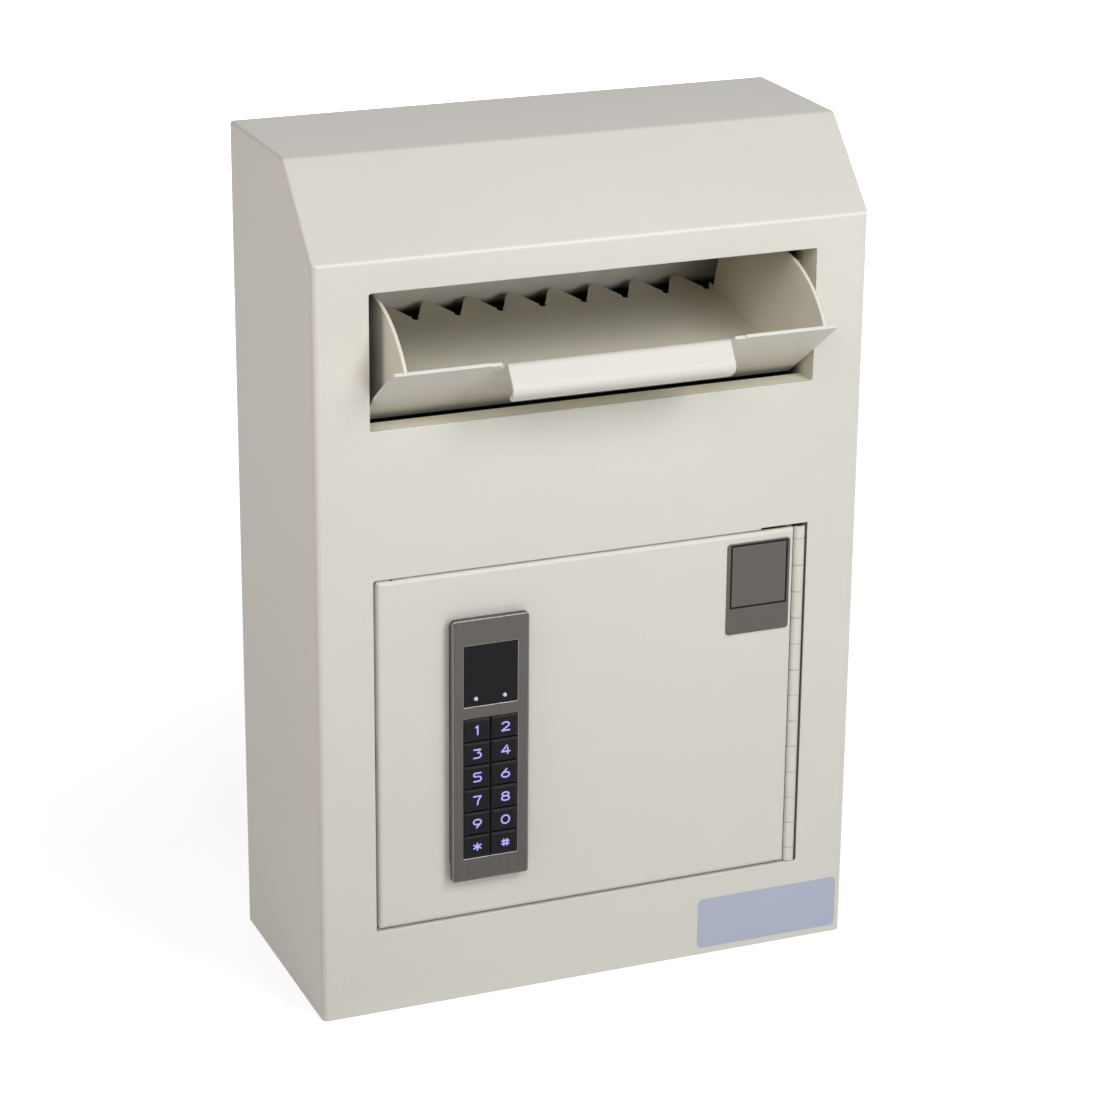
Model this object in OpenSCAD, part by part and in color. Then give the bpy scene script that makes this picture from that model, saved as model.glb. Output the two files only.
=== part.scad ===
// Deposit safe in folded and welded steel sheet. Notes and bags drop in through a tilting
// hopper, and are taken out through a door with a keypad and a motor-driven bolt.
// Millimetres. The origin is the middle of the underside, X runs right, Y back and Z up.
// At rest the hopper is tipped open and the door is shut, with its bolt drawn back.

/* [Body] */
// Width of the body
body_w = 254; // [236:1:300]
// Depth of the body
body_d = 109; // [106:1:160]
// Height of the body
body_h = 382; // [378:1:440]
// Rise, and run, of the sloping band above the front
slope_h = 37; // [24:1:38]
// Thickness of the body's sheet
body_t = 2.5; // [1.5:0.1:3]
// Outer radius of the body's folds
fold_r = 3; // [3:0.1:6]
// Radius of the dressed weld seams
weld_r = 1.5; // [0.5:0.1:1.5]
// Height of the front sheet's end below its top fold
seam_drop = 4; // [3:0.5:7]
// Diameter of the holes for wall bolts
wall_hole_d = 8.5; // [5:0.5:12]
// Spacing of the wall holes along the width
wall_hole_x = 150; // [80:5:180]
// Spacing of the wall holes along the height
wall_hole_z = 120; // [60:5:120]
// Height of the lower wall holes
wall_hole_low = 70; // [40:5:90]

/* [Drop opening] */
// Distance from the body's sides to the drop opening
drop_side = 24.5; // [23:0.5:32]
// Height of the drop opening
drop_h = 60; // [60:1:64]
// Distance from the front's top fold down to the drop opening
drop_down = 13.5; // [13:0.5:19]
// Radius of the corners of both openings
opening_r = 1.2; // [0.5:0.1:2]
// Thickness of the sheet round the throat
throat_t = 2; // [1:0.1:3]
// Depth of the throat's sill and head behind the front sheet
throat_d = 9.6; // [6:0.2:9.6]
// Length of the cheeks that carry the hopper
cheek_l = 58; // [52:1:80]
// Height of a cheek below and above the opening
cheek_margin = 7; // [5:0.5:8]
// Width of the flange that welds a cheek to the front sheet
cheek_flange = 11.5; // [6:0.5:12]

/* [Hopper] */
// Thickness of the hopper's sheet
hopper_t = 1.5; // [1:0.1:1.6]
// Angle through which the hopper tips open
tip_angle = 54.5; // [45:0.5:54.5]
// Distance from the front plane back to the pivot
pivot_y = 19.5; // [19:0.1:20]
// Height of the pivot above the opening's lower edge
pivot_z = 5.5; // [5:0.1:6.5]
// Diameter of the pivot pins
pin_d = 4; // [3:0.1:4.4]
// Gap between the flap and each side of the opening
flap_gap = 1.65; // [0.8:0.05:2]
// Distance from the pivot forward to the flap's face
flap_face = 5; // [5:0.1:5.4]
// Height of the flap above the pivot
flap_up = 51.8; // [51.8:0.1:53]
// Height of the flap below the pivot
flap_down = 4.5; // [3.5:0.1:4.6]
// Width of the folded handle
handle_w = 101; // [60:1:130]
// Reach of the handle in front of the flap
handle_reach = 13.5; // [10:0.1:13.5]
// Height of the handle above the pivot
handle_up = 51; // [50:0.1:51]
// Height of the handle's lip
handle_lip = 8; // [6:0.5:16]
// Outer radius of the handle's front fold
handle_r = 4; // [2.5:0.1:5]
// Outer radius of the handle's root fold
root_r = 2.5; // [2:0.1:3]
// Width and depth of the relief notches beside the handle
relief = [2.4, 3.4]; // [1:0.1:5]
// Distance from the opening's sides to the hopper's side plates
side_gap = 6.5; // [5:0.1:8]
// Radius of the side plates' curved edge
side_r = 51.5; // [50:0.1:51.5]
// Distance of that edge's centre in front of the pivot
side_ahead = 2.5; // [2:0.1:3]
// Angle at which the curved edge runs out straight
side_turn = 37.5; // [37.5:0.5:40]
// Reach of the side plates from the pivot
side_reach = 70; // [64:0.5:72]
// Radius of the side plates round the pivot
ear_r = 5.5; // [4.5:0.1:5.6]
// Slope of the floor with the hopper shut
floor_slope = 43.8; // [40:0.2:46]
// Height of the floor's upper face above the pivot, square to the floor
floor_rise = 1.8; // [1.8:0.1:2.4]
// Reach of the floor's teeth from the pivot
floor_reach = 84; // [76:0.5:84]
// Height of the wave of the floor's teeth
tooth_h = 16; // [8:0.5:18]
// Pitch of the floor's teeth
tooth_pitch = 20.2; // [14:0.1:24]
// Length of a tooth's flank along the edge; over half a pitch, the teeth meet in a narrow gap
tooth_flank = 11.6; // [10:0.1:13]
// Diameter of the hole that ends each gap between the teeth
tooth_notch = 3.6; // [1.5:0.1:3.8]

/* [Door] */
// Distance from the body's left and right sides to the door opening
door_side = [25.15, 24.35]; // [23.5:0.05:29]
// Height of the door opening
door_h = 165.5; // [162:0.5:175]
// Height of the door opening's lower edge
door_z = 39.5; // [34:0.5:42]
// Thickness of the door's sheet
door_t = 2.5; // [1.5:0.1:3]
// Depth of the door's folded edges
door_d = 15; // [12:0.5:16]
// Outer radius of the door's folds
door_r = 2.2; // [1.8:0.1:3]
// Gap above and below the door
door_gap = 0.9; // [0.6:0.1:1.5]
// Gap on the door's bolt side
bolt_gap = 1.5; // [1:0.1:2]
// Thickness of the frame round the door opening
frame_t = 2; // [1.5:0.1:3]
// Reach of the frame's ledge behind the door
ledge = 6; // [4:0.5:6]
// Clear distance between the shut door and the frame's ledge
ledge_gap = 0.3; // [0.2:0.1:0.6]
// Length at the hinge that the ledge leaves free at the top and the bottom
ledge_free = [22.65, 12.65]; // [5:0.05:30]

/* [Hinge] */
// Diameter of the hinge's knuckles
knuckle_d = 5.5; // [4.5:0.1:5.8]
// Pitch of the knuckles
knuckle_pitch = 12.6; // [10:0.1:12.9]
// Number of full knuckles
knuckle_count = 12; // [8:2:12]
// Length of the lowest knuckle; the top one takes up the rest of the hinge
knuckle_end = 6.7; // [4:0.1:6.7]
// Gap between two knuckles
knuckle_gap = 0.3; // [0.2:0.05:0.5]
// Diameter of the hinge pin
hinge_pin_d = 2.4; // [1.8:0.1:2.8]
// Thickness of the hinge's leaves
leaf_t = 1.2; // [0.8:0.1:1.5]
// Width of the leaves
leaf_w = 8.5; // [6:0.5:9]
// Gap between the knuckles and the edges of the sheets
hinge_gap = 0.25; // [0.2:0.05:0.4]
// Gap between the knuckles and the door's edge
hinge_door_gap = 0.5; // [0.4:0.05:0.8]

/* [Keypad] */
// Distance from the door opening's left edge to the keypad's middle
keypad_in = 51.65; // [49.65:0.05:55.65]
// Height of the bezel's lower edge
keypad_z = 59.6; // [56:0.2:62]
// Width, height and thickness of the bezel
bezel = [36, 124, 2.4]; // [1.5:0.1:130]
// Radius of the bezel's corners
bezel_r = 2; // [1:0.1:3]
// Width, height and thickness of the housing on the door's face
housing = [35, 115, 2.6]; // [2:0.1:120]
// Free height below the housing, behind the bezel's finger edge
finger_gap = 7; // [5:0.5:8]
// Width and height of the housing's part inside the door
tub = [28, 104]; // [20:0.5:110]
// Thickness of the housing's rear wall
tub_t = 1; // [0.8:0.1:1.2]
// Width and height of a key
key = [12.3, 10.6]; // [8:0.1:12.4]
// Spacing of the keys across and down
key_pitch = [12.8, 11.13]; // [9:0.01:14]
// Height of the keys above the bezel
key_proud = 0.6; // [0.5:0.1:1]
// Travel of a key
key_travel = 0.6; // [0.4:0.1:0.7]
// Width of the keys' bevelled edge
key_bevel = 0.9; // [0.5:0.1:1.5]
// Height of the lowest keys' lower edge above the bezel's
key_low = 10.9; // [9:0.1:12]
// Width and height of the display window
window = [25.3, 28.6]; // [15:0.1:30]
// Gap between the keys and the window
window_gap = 5.5; // [4:0.1:8]
// Diameter of the two lamps in the window
lamp_d = 1.9; // [1:0.1:2.4]
// Spacing of the lamps
lamp_pitch = 13.4; // [8:0.1:18]
// Height of the lamps above the window's lower edge
lamp_up = 3.4; // [2.5:0.1:8]

/* [Lock] */
// Width, depth and height of the lock case
lock = [56, 22, 60]; // [20:0.5:62]
// Distance from the door's edge to the lock case
lock_inset = 8.35; // [8.35:0.05:12]
// Height of the lock case's lower edge above the keypad's
lock_up = 32; // [28:0.5:36]
// Thickness of the lock case's walls
case_t = 2; // [1.5:0.1:2.5]
// Thickness of the lock's and the battery box's covers
cover_t = 1.5; // [1:0.1:2]
// Length, thickness and height of the bolt
bolt = [46, 8, 12]; // [6:0.5:46]
// Height of the bolt's underside above the lock case's lower edge
bolt_up = 24; // [22:0.5:28]
// Travel of the bolt
bolt_travel = 8; // [6:0.5:9]
// Gap round the bolt
bolt_fit = 0.3; // [0.2:0.05:0.5]
// Gap round the bolt in the door frame and the strike plate
strike_fit = 0.8; // [0.3:0.1:1.2]
// Module of the bolt's rack and its pinion
tooth_module = 1; // [0.8:0.1:1]
// Number of teeth on the pinion
pinion_teeth = 12; // [11:1:13]
// Width of the pinion
pinion_w = 6; // [4:0.5:6.5]
// Diameter of the pinion's shaft
shaft_d = 3; // [2:0.1:4]
// Distance from the bolt's end to the pinion
pinion_x = 28; // [26.5:0.5:29]
// Diameter of the motor
motor_d = 20; // [16:0.5:22]
// Length of the motor behind its flange
motor_l = 6.5; // [5:0.5:7]

/* [Batteries] */
// Diameter and length of a battery
battery = [14.5, 50]; // [10:0.1:51]
// Number of batteries
battery_count = 4; // [2:1:4]
// Wall of the battery box
box_t = 2; // [1.5:0.1:2.5]
// Distance from the lock case to the battery box
box_gap = 11; // [8:0.5:14]
// Height of the battery box's lower edge above the lock case's
box_drop = -3.6; // [-8:0.2:4]
// Diameter of the leads
lead_d = 4; // [2:0.1:5]
// Height of the leads above the lock case's lower edge
lead_up = 17; // [15:0.5:19]
// Free length for the springs at the batteries' ends
spring_room = 13; // [10:0.5:16]

/* [Hidden] */
$fn = 64;
e = 0.05;
running = 0.05;
clear = 0.3;

front = -body_d / 2;
rear = body_d / 2;
front_in = front + body_t;
rear_in = rear - body_t;
side_in = body_w / 2 - body_t;
slope_z = body_h - slope_h;
seam_z = slope_z - seam_drop;

drop_half = body_w / 2 - drop_side;
drop_top = slope_z - drop_down;
drop_z = drop_top - drop_h;
cheek_in = drop_half;
cheek_out = drop_half + throat_t;

pivot = [0, front + pivot_y, drop_z + pivot_z];
pin_r = pin_d / 2;
bush_r = 3.2;
bush_barrel_r = 3;
bush_end = cheek_out + 1.5;
clip_t = 0.8;
clip_w = 2.5;
pin_tail = 0.9;
cheek_r = 8;
flap_half = drop_half - flap_gap;
flap_in = -flap_face + hopper_t;
side_out_x = drop_half - side_gap;
side_in_x = side_out_x - hopper_t;
valley_s = floor_reach - tooth_h;
notch_sunk = 0.5;
flange_foot = 1.5;
flap_low_r = 0.5;
flap_high_r = 1.2;
flap_step = 0.8;
step_w = 5;
lip_r = 2;
stop_w = 5;
stop_h = 15;
stop_t = 2;
stop_up = 30;
stud_r = 3;
stud_along = 34;

door_left = door_side[0] - body_w / 2;
door_right = body_w / 2 - door_side[1];
door_top = door_z + door_h;
hinge_x = door_right - hinge_gap - knuckle_d / 2;
hinge_y = front + knuckle_d / 2;
hinge_low = 0.45;
hinge_high = 1.35;
hinge_l = door_h - hinge_low - hinge_high;
hinge_z = door_z + hinge_low;
panel_left = door_left + bolt_gap;
panel_right = hinge_x - knuckle_d / 2 - hinge_door_gap;
panel_bottom = door_z + door_gap;
panel_top = door_top - door_gap;
panel_in = front + door_t;
panel_end = front + door_d;
ledge_front = panel_end + ledge_gap;
ledge_back = ledge_front + frame_t;
slot_x = door_right - hinge_gap - ledge_free[0];
slot_drop = 0.25;
slot_rise = 0.65;
corner_relief = [6.4, 1];
strike_t = 3;
strike_over = 12;
strike_back = 0.5;

keypad_x = -door_left - keypad_in;
housing_front = front - housing[2];
bezel_front = housing_front - bezel[2];
housing_z = keypad_z + finger_gap;
tub_z = housing_z + (housing[1] - tub[1]) / 2;
tub_back = front + door_t;
tub_r = 2;
tub_wall = 1;
pad_screw_x = 8;
pad_screw_l = 1.5;
face_r = 0.6;
window_sunk = 0.4;
window_play = 0.05;
lamp_sunk = 0.5;
lamp_play = 0.2;
bezel_edge = 0.5;
mat_in = 1.3;
board_in = 1.1;
board_t = 1.2;
mat_t = 1.2;
board_back = tub_back - tub_t;
board_front = board_back - board_t;
mat_front = board_front - mat_t;
key_back = mat_front - key_travel - clear;
key_front = bezel_front - key_proud;
keys_z = keypad_z + key_low;
keys_w = 2 * key_pitch[0];
keys_h = 6 * key_pitch[1];
window_z = keys_z + keys_h + window_gap;

lock_x = panel_left + lock_inset;
lock_z = keypad_z + lock_up;
lock_back = panel_in + lock[1];
case_floor = panel_in + case_t;
bolt_back = 0.85;
bolt_x = panel_left + bolt_back;
bolt_r = 0.8;
bolt_y = case_floor + bolt_fit;
bolt_z = lock_z + bolt_up;
gear_r = tooth_module * pinion_teeth / 2;
shift = 0.3;
mesh_play = 0.2;
rack_line = gear_r + shift * tooth_module;
axle = [bolt_x + pinion_x, bolt_z + tooth_module - rack_line];
pinion_y = bolt_y + (bolt[1] - pinion_w) / 2;
motor_front = bolt_y + bolt[1] + 1.5;
flange_t = 2;
flange_l = 34;
flange_h = 10;
motor_screw = 12.5;
motor_post_r = 2.5;
motor_head_r = 2;
notch_r = 2.2;
keeper_t = 2;
keeper_over = 6;
rail_h = 7;
rail_x = bolt_x + 10;
rail_l = 34;
rail_screw = 4;
screw_r = 1.4;
screw_play = 0.1;
head_r = 2.6;
head_h = 1.6;
post_r = 3;
post_sunk = 1;
cover_screw_l = 7;
inner_screw_l = 5;
blind = 1;
axle_seat = 0.8;
axle_start = 1;
axle_over = 2;
box_x = lock_x + lock[0] + box_gap;
box_z = lock_z + box_drop;
cell = battery[0] + 0.4;
box_w = battery_count * cell + 2 * box_t;
box_h = battery[1] + spring_room + 2 * box_t;
box_back = panel_in + box_t + battery[0] + 2.5;
cell_up = spring_room / 2;
cell_tip = [2.75, 1.6];
tab = [16, 1.5, 3];
tab_down = 5;
lead_z = lock_z + lead_up;
lead_y = case_floor + 4.8;
lead_play = 0.2;
board = [13, 18];
lock_board_t = 1.6;
board_gap = 1.6;
board_x = lock_x + lock[0] - case_t - board_gap - board[0];
board_z = lead_z - board[1] / 2;
board_y = lead_y + 1;
board_post_r = 1.6;
board_post_in = 2.5;
board_r = 0.5;

function to(p, q) = (q - p) / norm(q - p);
function half(p, a, b) = acos(to(p, a) * to(p, b)) / 2;
function touch(p, a, b, r) = p + to(p, a) * r / tan(half(p, a, b));
function centre(p, a, b, r) = p + to([0, 0], to(p, a) + to(p, b)) * r / sin(half(p, a, b));

// A convex outline whose corners are rounded, each to its own radius
module rounded(points, radii) {
    n = len(points);
    polygon([for (i = [0 : n - 1])
        let (p = points[i], a = points[(i + n - 1) % n], b = points[(i + 1) % n], r = radii[i])
        each (r > 0 ? [touch(p, a, b, r), touch(p, b, a, r)] : [p])]);
    for (i = [0 : n - 1])
        if (radii[i] > 0)
            translate(centre(points[i], points[(i + n - 1) % n], points[(i + 1) % n], radii[i]))
                circle(radii[i]);
}

// A rectangle from one corner to the other, with its corners rounded
module rounded_rect(low, high, r) {
    rounded([low, [high[0], low[1]], high, [low[0], high[1]]], [r, r, r, r]);
}

// Raises an outline drawn in Y and Z along X
module along_x(x0, x1) {
    translate([x0, 0, 0]) rotate([90, 0, 90]) linear_extrude(x1 - x0) children();
}

// Raises an outline drawn in X and Z along Y
module along_y(y0, y1) {
    translate([0, y1, 0]) rotate([90, 0, 0]) linear_extrude(y1 - y0) children();
}

module block(low, high) {
    translate(low) cube(high - low);
}

// A round bar along X, Y or Z from one point
module bar_x(at, l, r) {
    translate(at) rotate([0, 90, 0]) cylinder(h = l, r = r);
}

module bar_y(at, l, r) {
    translate(at) rotate([-90, 0, 0]) cylinder(h = l, r = r);
}

module both_sides() {
    children();
    mirror([1, 0, 0]) children();
}

// Body outline seen from the side, drawn smaller by inset
module side_outline(inset) {
    s = inset * tan(22.5);
    r = fold_r - inset;
    rounded([
        [front + inset, inset], [rear - inset, inset], [rear - inset, body_h - inset],
        [front + slope_h + s, body_h - inset], [front + inset, slope_z - s]
    ], [0, 0, 0, r, r]);
}

// Body outline seen from above, drawn smaller by inset and open at the back
module plan_outline(inset, back) {
    w = body_w / 2 - inset;
    r = fold_r - inset;
    rounded([[-w, front + inset], [w, front + inset], [w, back], [-w, back]], [r, r, 0, 0]);
}

// The body's outer form, with folded edges at the front and dressed welds above
module outer_form() {
    intersection() {
        linear_extrude(body_h) plan_outline(0, rear);
        along_x(-body_w / 2, body_w / 2) side_outline(0);
        along_y(front, rear) rounded([
            [-body_w / 2, 0], [body_w / 2, 0], [body_w / 2, body_h], [-body_w / 2, body_h]
        ], [0, 0, weld_r, weld_r]);
        translate([0, front, slope_z]) rotate([45, 0, 0]) along_y(-body_h, body_h)
            rounded([
                [-body_w / 2, -body_h], [body_w / 2, -body_h], [body_w / 2, 0], [-body_w / 2, 0]
            ], [0, 0, weld_r, weld_r]);
    }
}

// What lies between the two side sheets
module between_sides(z0, z1) {
    block([-side_in, front - 1, z0], [side_in, rear + 1, z1]);
}

module drop_outline() {
    rounded_rect([-drop_half, drop_z], [drop_half, drop_top], opening_r);
}

module door_outline() {
    rounded_rect([door_left, door_z], [door_right, door_top], opening_r);
}

module front_wrap() color("ivory") difference() {
    outer_form();
    translate([0, 0, -1]) linear_extrude(body_h + 2) plan_outline(body_t, rear + 1);
    between_sides(seam_z, body_h + 1);
    along_y(front - 1, front_in + 1) drop_outline();
    along_y(front - 1, front_in + 1) door_outline();
    hinge_slot(door_right);
}

// The slot over the hinge's end of the door, up to one X
module hinge_slot(x) {
    block([slot_x, front - 1, door_top - 1], [x, ledge_back + 1, door_top + slot_rise]);
}

module top_wrap() color("ivory") difference() {
    intersection() {
        outer_form();
        between_sides(seam_z, body_h);
    }
    along_x(-body_w, body_w) side_outline(body_t);
    block([-body_w, rear_in - 1, 0], [body_w, rear + 1, body_h - body_t]);
}

module bottom_plate() color("ivory") linear_extrude(body_t) plan_outline(body_t, rear_in);

module wall_holes() {
    for (x = [-1, 1], z = [0, 1])
        translate([x * wall_hole_x / 2, rear_in - 1, wall_hole_low + z * wall_hole_z])
            rotate([-90, 0, 0]) cylinder(h = body_t + 2, d = wall_hole_d);
}

module back_panel() color("ivory") difference() {
    block([-side_in, rear_in, 0], [side_in, rear, body_h - body_t]);
    wall_holes();
}

module drop_sill() color("ivory")
    block([-drop_half, front_in, drop_z - throat_t], [drop_half, front_in + throat_d, drop_z]);

module drop_head() color("ivory")
    block([-drop_half, front_in, drop_top], [drop_half, front_in + throat_d, drop_top + throat_t]);

// One cheek: a web with a flange for the front sheet, a bush hole and a stop for the shut flap
module cheek() {
    low = drop_z - cheek_margin;
    high = drop_top + cheek_margin;
    stop_y = pivot[1] + flap_in + clear;
    difference() {
        union() {
            along_x(cheek_in, cheek_out) rounded([
                [front_in, low], [front_in + cheek_l, low], [front_in + cheek_l, high], [front_in, high]
            ], [0, cheek_r, cheek_r, 0]);
            block([cheek_out, front_in, low], [cheek_out + cheek_flange, front_in + throat_t, high]);
            block([cheek_in - stop_w, stop_y, pivot[2] + stop_up],
                [cheek_in, stop_y + stop_t, pivot[2] + stop_up + stop_h]);
        }
        bar_x([cheek_in - 1, pivot[1], pivot[2]], throat_t + 2, bush_barrel_r);
        stud_place() bar_x([cheek_in - 1, 0, 0], throat_t + 2, stud_r - 1);
    }
}

// The place of the stud that the open hopper's side plates stop against
module stud_place() {
    translate(pivot) rotate([tip_angle, 0, 0]) translate([0, -side_ahead, 0])
        rotate([side_turn, 0, 0]) translate([0, side_r + clear + stud_r, -stud_along]) children();
}

module cheek_right() color("ivory") cheek();

module cheek_left() color("ivory") mirror([1, 0, 0]) cheek();

module stop_studs() color("silver") both_sides() stud_place() {
    bar_x([side_in_x - 1, 0, 0], cheek_in - side_in_x + 1, stud_r);
    bar_x([cheek_in, 0, 0], throat_t + 1, stud_r - 1);
}

module pivot_bushes() color("slategray") both_sides() difference() {
    union() {
        bar_x([side_out_x + clear, pivot[1], pivot[2]], cheek_in - side_out_x - clear, bush_r);
        bar_x([cheek_in, pivot[1], pivot[2]], bush_end - cheek_in, bush_barrel_r);
    }
    bar_x([side_out_x, pivot[1], pivot[2]], bush_end - side_out_x + 1, pin_r + running);
}

// The frame inside the door opening: four legs, and a ledge behind the shut door. A cut lets
// the bolt through, and the strike plate closes it from outside
module door_frame() color("ivory") {
    right = door_right - hinge_gap;
    out_low = [door_left - frame_t, door_z - frame_t];
    out_high = [right + frame_t, door_top + frame_t];
    difference() {
        union() {
            along_y(front_in, ledge_back) difference() {
                rounded_rect(out_low, out_high, 0);
                rounded_rect([door_left, door_z], [right, door_top], 0);
            }
            along_y(ledge_front, ledge_back) difference() {
                rounded_rect([door_left, door_z], [slot_x, door_top], 0);
                rounded_rect([door_left + ledge, door_z + ledge], [right, door_top - ledge], 0);
            }
            along_y(ledge_front, ledge_back)
                rounded_rect([door_left + ledge, door_z], [right - ledge_free[1], door_z + ledge], 0);
        }
        block([door_left - frame_t - 1, bolt_y - strike_fit, bolt_z - strike_fit],
            [door_left + ledge + 1, rear, bolt_z + bolt[2] + strike_fit]);
        hinge_slot(right);
    }
}

// The bolt's cross-section with a gap round it, from one X to another
module bolt_way(x0, x1, gap = bolt_fit) {
    block([x0, bolt_y - gap, bolt_z - gap], [x1, bolt_y + bolt[1] + gap, bolt_z + bolt[2] + gap]);
}

module strike_plate() color("silver") difference() {
    x = door_left - frame_t;
    block([x - strike_t, front_in + strike_back, bolt_z - strike_over],
        [x, ledge_back - strike_back, bolt_z + bolt[2] + strike_over]);
    bolt_way(x - strike_t - 1, x + 1, strike_fit);
}

// Knuckles of one leaf, each with a web to the leaf, on the side that the leaf lies
module knuckles(first, side, bore_r) {
    inner = knuckle_d / 2 - leaf_t;
    for (i = [first : 2 : knuckle_count + 1]) {
        z0 = i == 0 ? 0 : knuckle_end + (i - 1) * knuckle_pitch + knuckle_gap / 2;
        z1 = i == knuckle_count + 1 ? hinge_l : knuckle_end + i * knuckle_pitch - knuckle_gap / 2;
        difference() {
            union() {
                translate([hinge_x, hinge_y, hinge_z + z0]) cylinder(h = z1 - z0, d = knuckle_d);
                translate([hinge_x, hinge_y, hinge_z + z0]) mirror([side < 0 ? 1 : 0, 0, 0])
                    translate([inner, 0, 0]) cube([leaf_t, knuckle_d / 2 + clear + e, z1 - z0]);
            }
            translate([hinge_x, hinge_y, hinge_z - 1]) cylinder(h = hinge_l + 2, r = bore_r);
        }
    }
}

module hinge_frame_leaf() color("ivory") {
    x = hinge_x + knuckle_d / 2;
    y = hinge_y + knuckle_d / 2 + clear;
    knuckles(0, 1, hinge_pin_d / 2);
    block([x - leaf_t, y, hinge_z], [x, y + leaf_w, hinge_z + hinge_l]);
}

module hinge_door_leaf() color("ivory") {
    x = panel_right;
    y = hinge_y + knuckle_d / 2 + clear;
    gap = hinge_door_gap;
    knuckles(1, -1, hinge_pin_d / 2 + running);
    block([x, y, hinge_z], [x + leaf_t, y + leaf_w, hinge_z + hinge_l]);
    for (i = [1 : 2 : knuckle_count + 1]) {
        z0 = knuckle_end + (i - 1) * knuckle_pitch + knuckle_gap / 2;
        z1 = i == knuckle_count + 1 ? hinge_l : knuckle_end + i * knuckle_pitch - knuckle_gap / 2;
        block([x, y - e, hinge_z + z0], [x + leaf_t + gap, y + leaf_t, hinge_z + z1]);
    }
}

module hinge_pin() color("silver")
    translate([hinge_x, hinge_y, hinge_z]) cylinder(h = hinge_l, d = hinge_pin_d);

// Puts what is drawn for the shut hopper, with the pivot at the origin, in its open place
module tipped() {
    translate(pivot) rotate([tip_angle, 0, 0]) children();
}

// Everything behind the flap's inner face
module behind_flap() {
    translate([flap_in, -body_h]) square([body_h, 2 * body_h]);
}

// The handle seen from the side: the flap's edge folded forward and down
module handle_profile() {
    tip = -flap_face - handle_reach;
    difference() {
        rounded([[tip, 0], [flap_in, 0], [flap_in, handle_up], [tip, handle_up]],
            [0, 0, root_r, handle_r]);
        rounded([
            [tip + hopper_t, -1], [-flap_face, -1], [-flap_face, handle_up - hopper_t],
            [tip + hopper_t, handle_up - hopper_t]
        ], [0, 0, root_r - hopper_t, handle_r - hopper_t]);
        translate([tip - 1, -1]) square([handle_reach, handle_up - handle_lip + 1]);
    }
}

module hopper_flap() color("ivory") tipped() {
    fold = handle_up - root_r;
    half_w = handle_w / 2;
    difference() {
        along_y(-flap_face, flap_in) rounded([
            [-flap_half, -flap_down], [flap_half, -flap_down], [flap_half, flap_up], [-flap_half, flap_up]
        ], [flap_low_r, flap_low_r, flap_high_r, flap_high_r]);
        block([-half_w - relief[0], -flap_face - 1, fold], [half_w + relief[0], flap_in + 1, flap_up + 1]);
        both_sides() block([half_w - e, -flap_face - 1, handle_up - relief[1]],
            [half_w + relief[0], flap_in + 1, flap_up + 1]);
        both_sides() block([half_w, -flap_face - 1, flap_up - flap_step],
            [half_w + relief[0] + step_w, flap_in + 1, flap_up + 1]);
    }
    intersection() {
        along_x(-half_w, half_w) handle_profile();
        union() {
            block([-half_w, -flap_face - handle_reach - 1, fold - e], [half_w, flap_in, handle_up + 1]);
            block([-half_w, -flap_face - handle_reach - 1, 0], [half_w, -flap_face - 1, handle_up + 1]);
        }
        along_y(-flap_face - handle_reach - 1, flap_in) rounded([
            [-half_w, handle_up - handle_lip], [half_w, handle_up - handle_lip],
            [half_w, handle_up + 1], [-half_w, handle_up + 1]
        ], [lip_r, lip_r, 0, 0]);
    }
}

// The distance along the floor's rear edge from the nearest tooth's crest
function from_crest(x) = x - tooth_pitch * round(x / tooth_pitch);

// The floor's toothed rear edge: a wave of round teeth, each gap between two ending in a round hole
module floor_outline() {
    steps = 16;
    dx = tooth_pitch / steps;
    n = floor(side_in_x / dx);
    xs = [-side_in_x, for (i = [-n : n]) if (abs(i * dx) < side_in_x - 0.2) i * dx, side_in_x];
    difference() {
        polygon([
            [-side_in_x, -20], [side_in_x, -20],
            for (i = [len(xs) - 1 : -1 : 0])
                [xs[i], valley_s + tooth_h * (1 + cos(180 * from_crest(xs[i]) / tooth_flank)) / 2]
        ]);
        for (k = [-10 : 10])
            if (abs((k + 0.5) * tooth_pitch) < side_in_x - tooth_notch / 2)
                translate([(k + 0.5) * tooth_pitch, valley_s - notch_sunk + tooth_notch / 2])
                    circle(d = tooth_notch);
    }
}

module hopper_floor() color("ivory") tipped() {
    flange_in = flap_in + hopper_t;
    intersection() {
        rotate([-floor_slope, 0, 0]) translate([0, 0, floor_rise - hopper_t])
            linear_extrude(hopper_t) floor_outline();
        block([-body_w, flap_in, -body_h], [body_w, body_h, body_h]);
    }
    block([-side_in_x, flap_in, -flange_foot],
        [side_in_x, flange_in, floor_rise / cos(floor_slope) - flange_in * tan(floor_slope) - e]);
}

// A side plate seen from the side: a sector that closes the throat as the hopper tips
module side_plate_outline() {
    intersection() {
        union() {
            translate([-side_ahead, 0]) circle(side_r);
            translate([-side_ahead, 0]) rotate(side_turn) translate([0, -2 * side_reach])
                square([side_r, 2 * side_reach]);
        }
        circle(side_reach);
        behind_flap();
        rotate(-floor_slope) translate([-body_h, floor_rise - hopper_t]) square([2 * body_h, body_h]);
    }
    intersection() {
        circle(ear_r);
        behind_flap();
    }
}

module hopper_side() {
    along_x(side_in_x, side_out_x) difference() {
        side_plate_outline();
        circle(pin_r);
    }
}

module hopper_side_right() color("ivory") tipped() hopper_side();

module hopper_side_left() color("ivory") tipped() mirror([1, 0, 0]) hopper_side();

module pivot_pins() color("silver") tipped() both_sides()
    bar_x([side_in_x, 0, 0], bush_end + clear + clip_t + pin_tail - side_in_x, pin_r);

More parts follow.
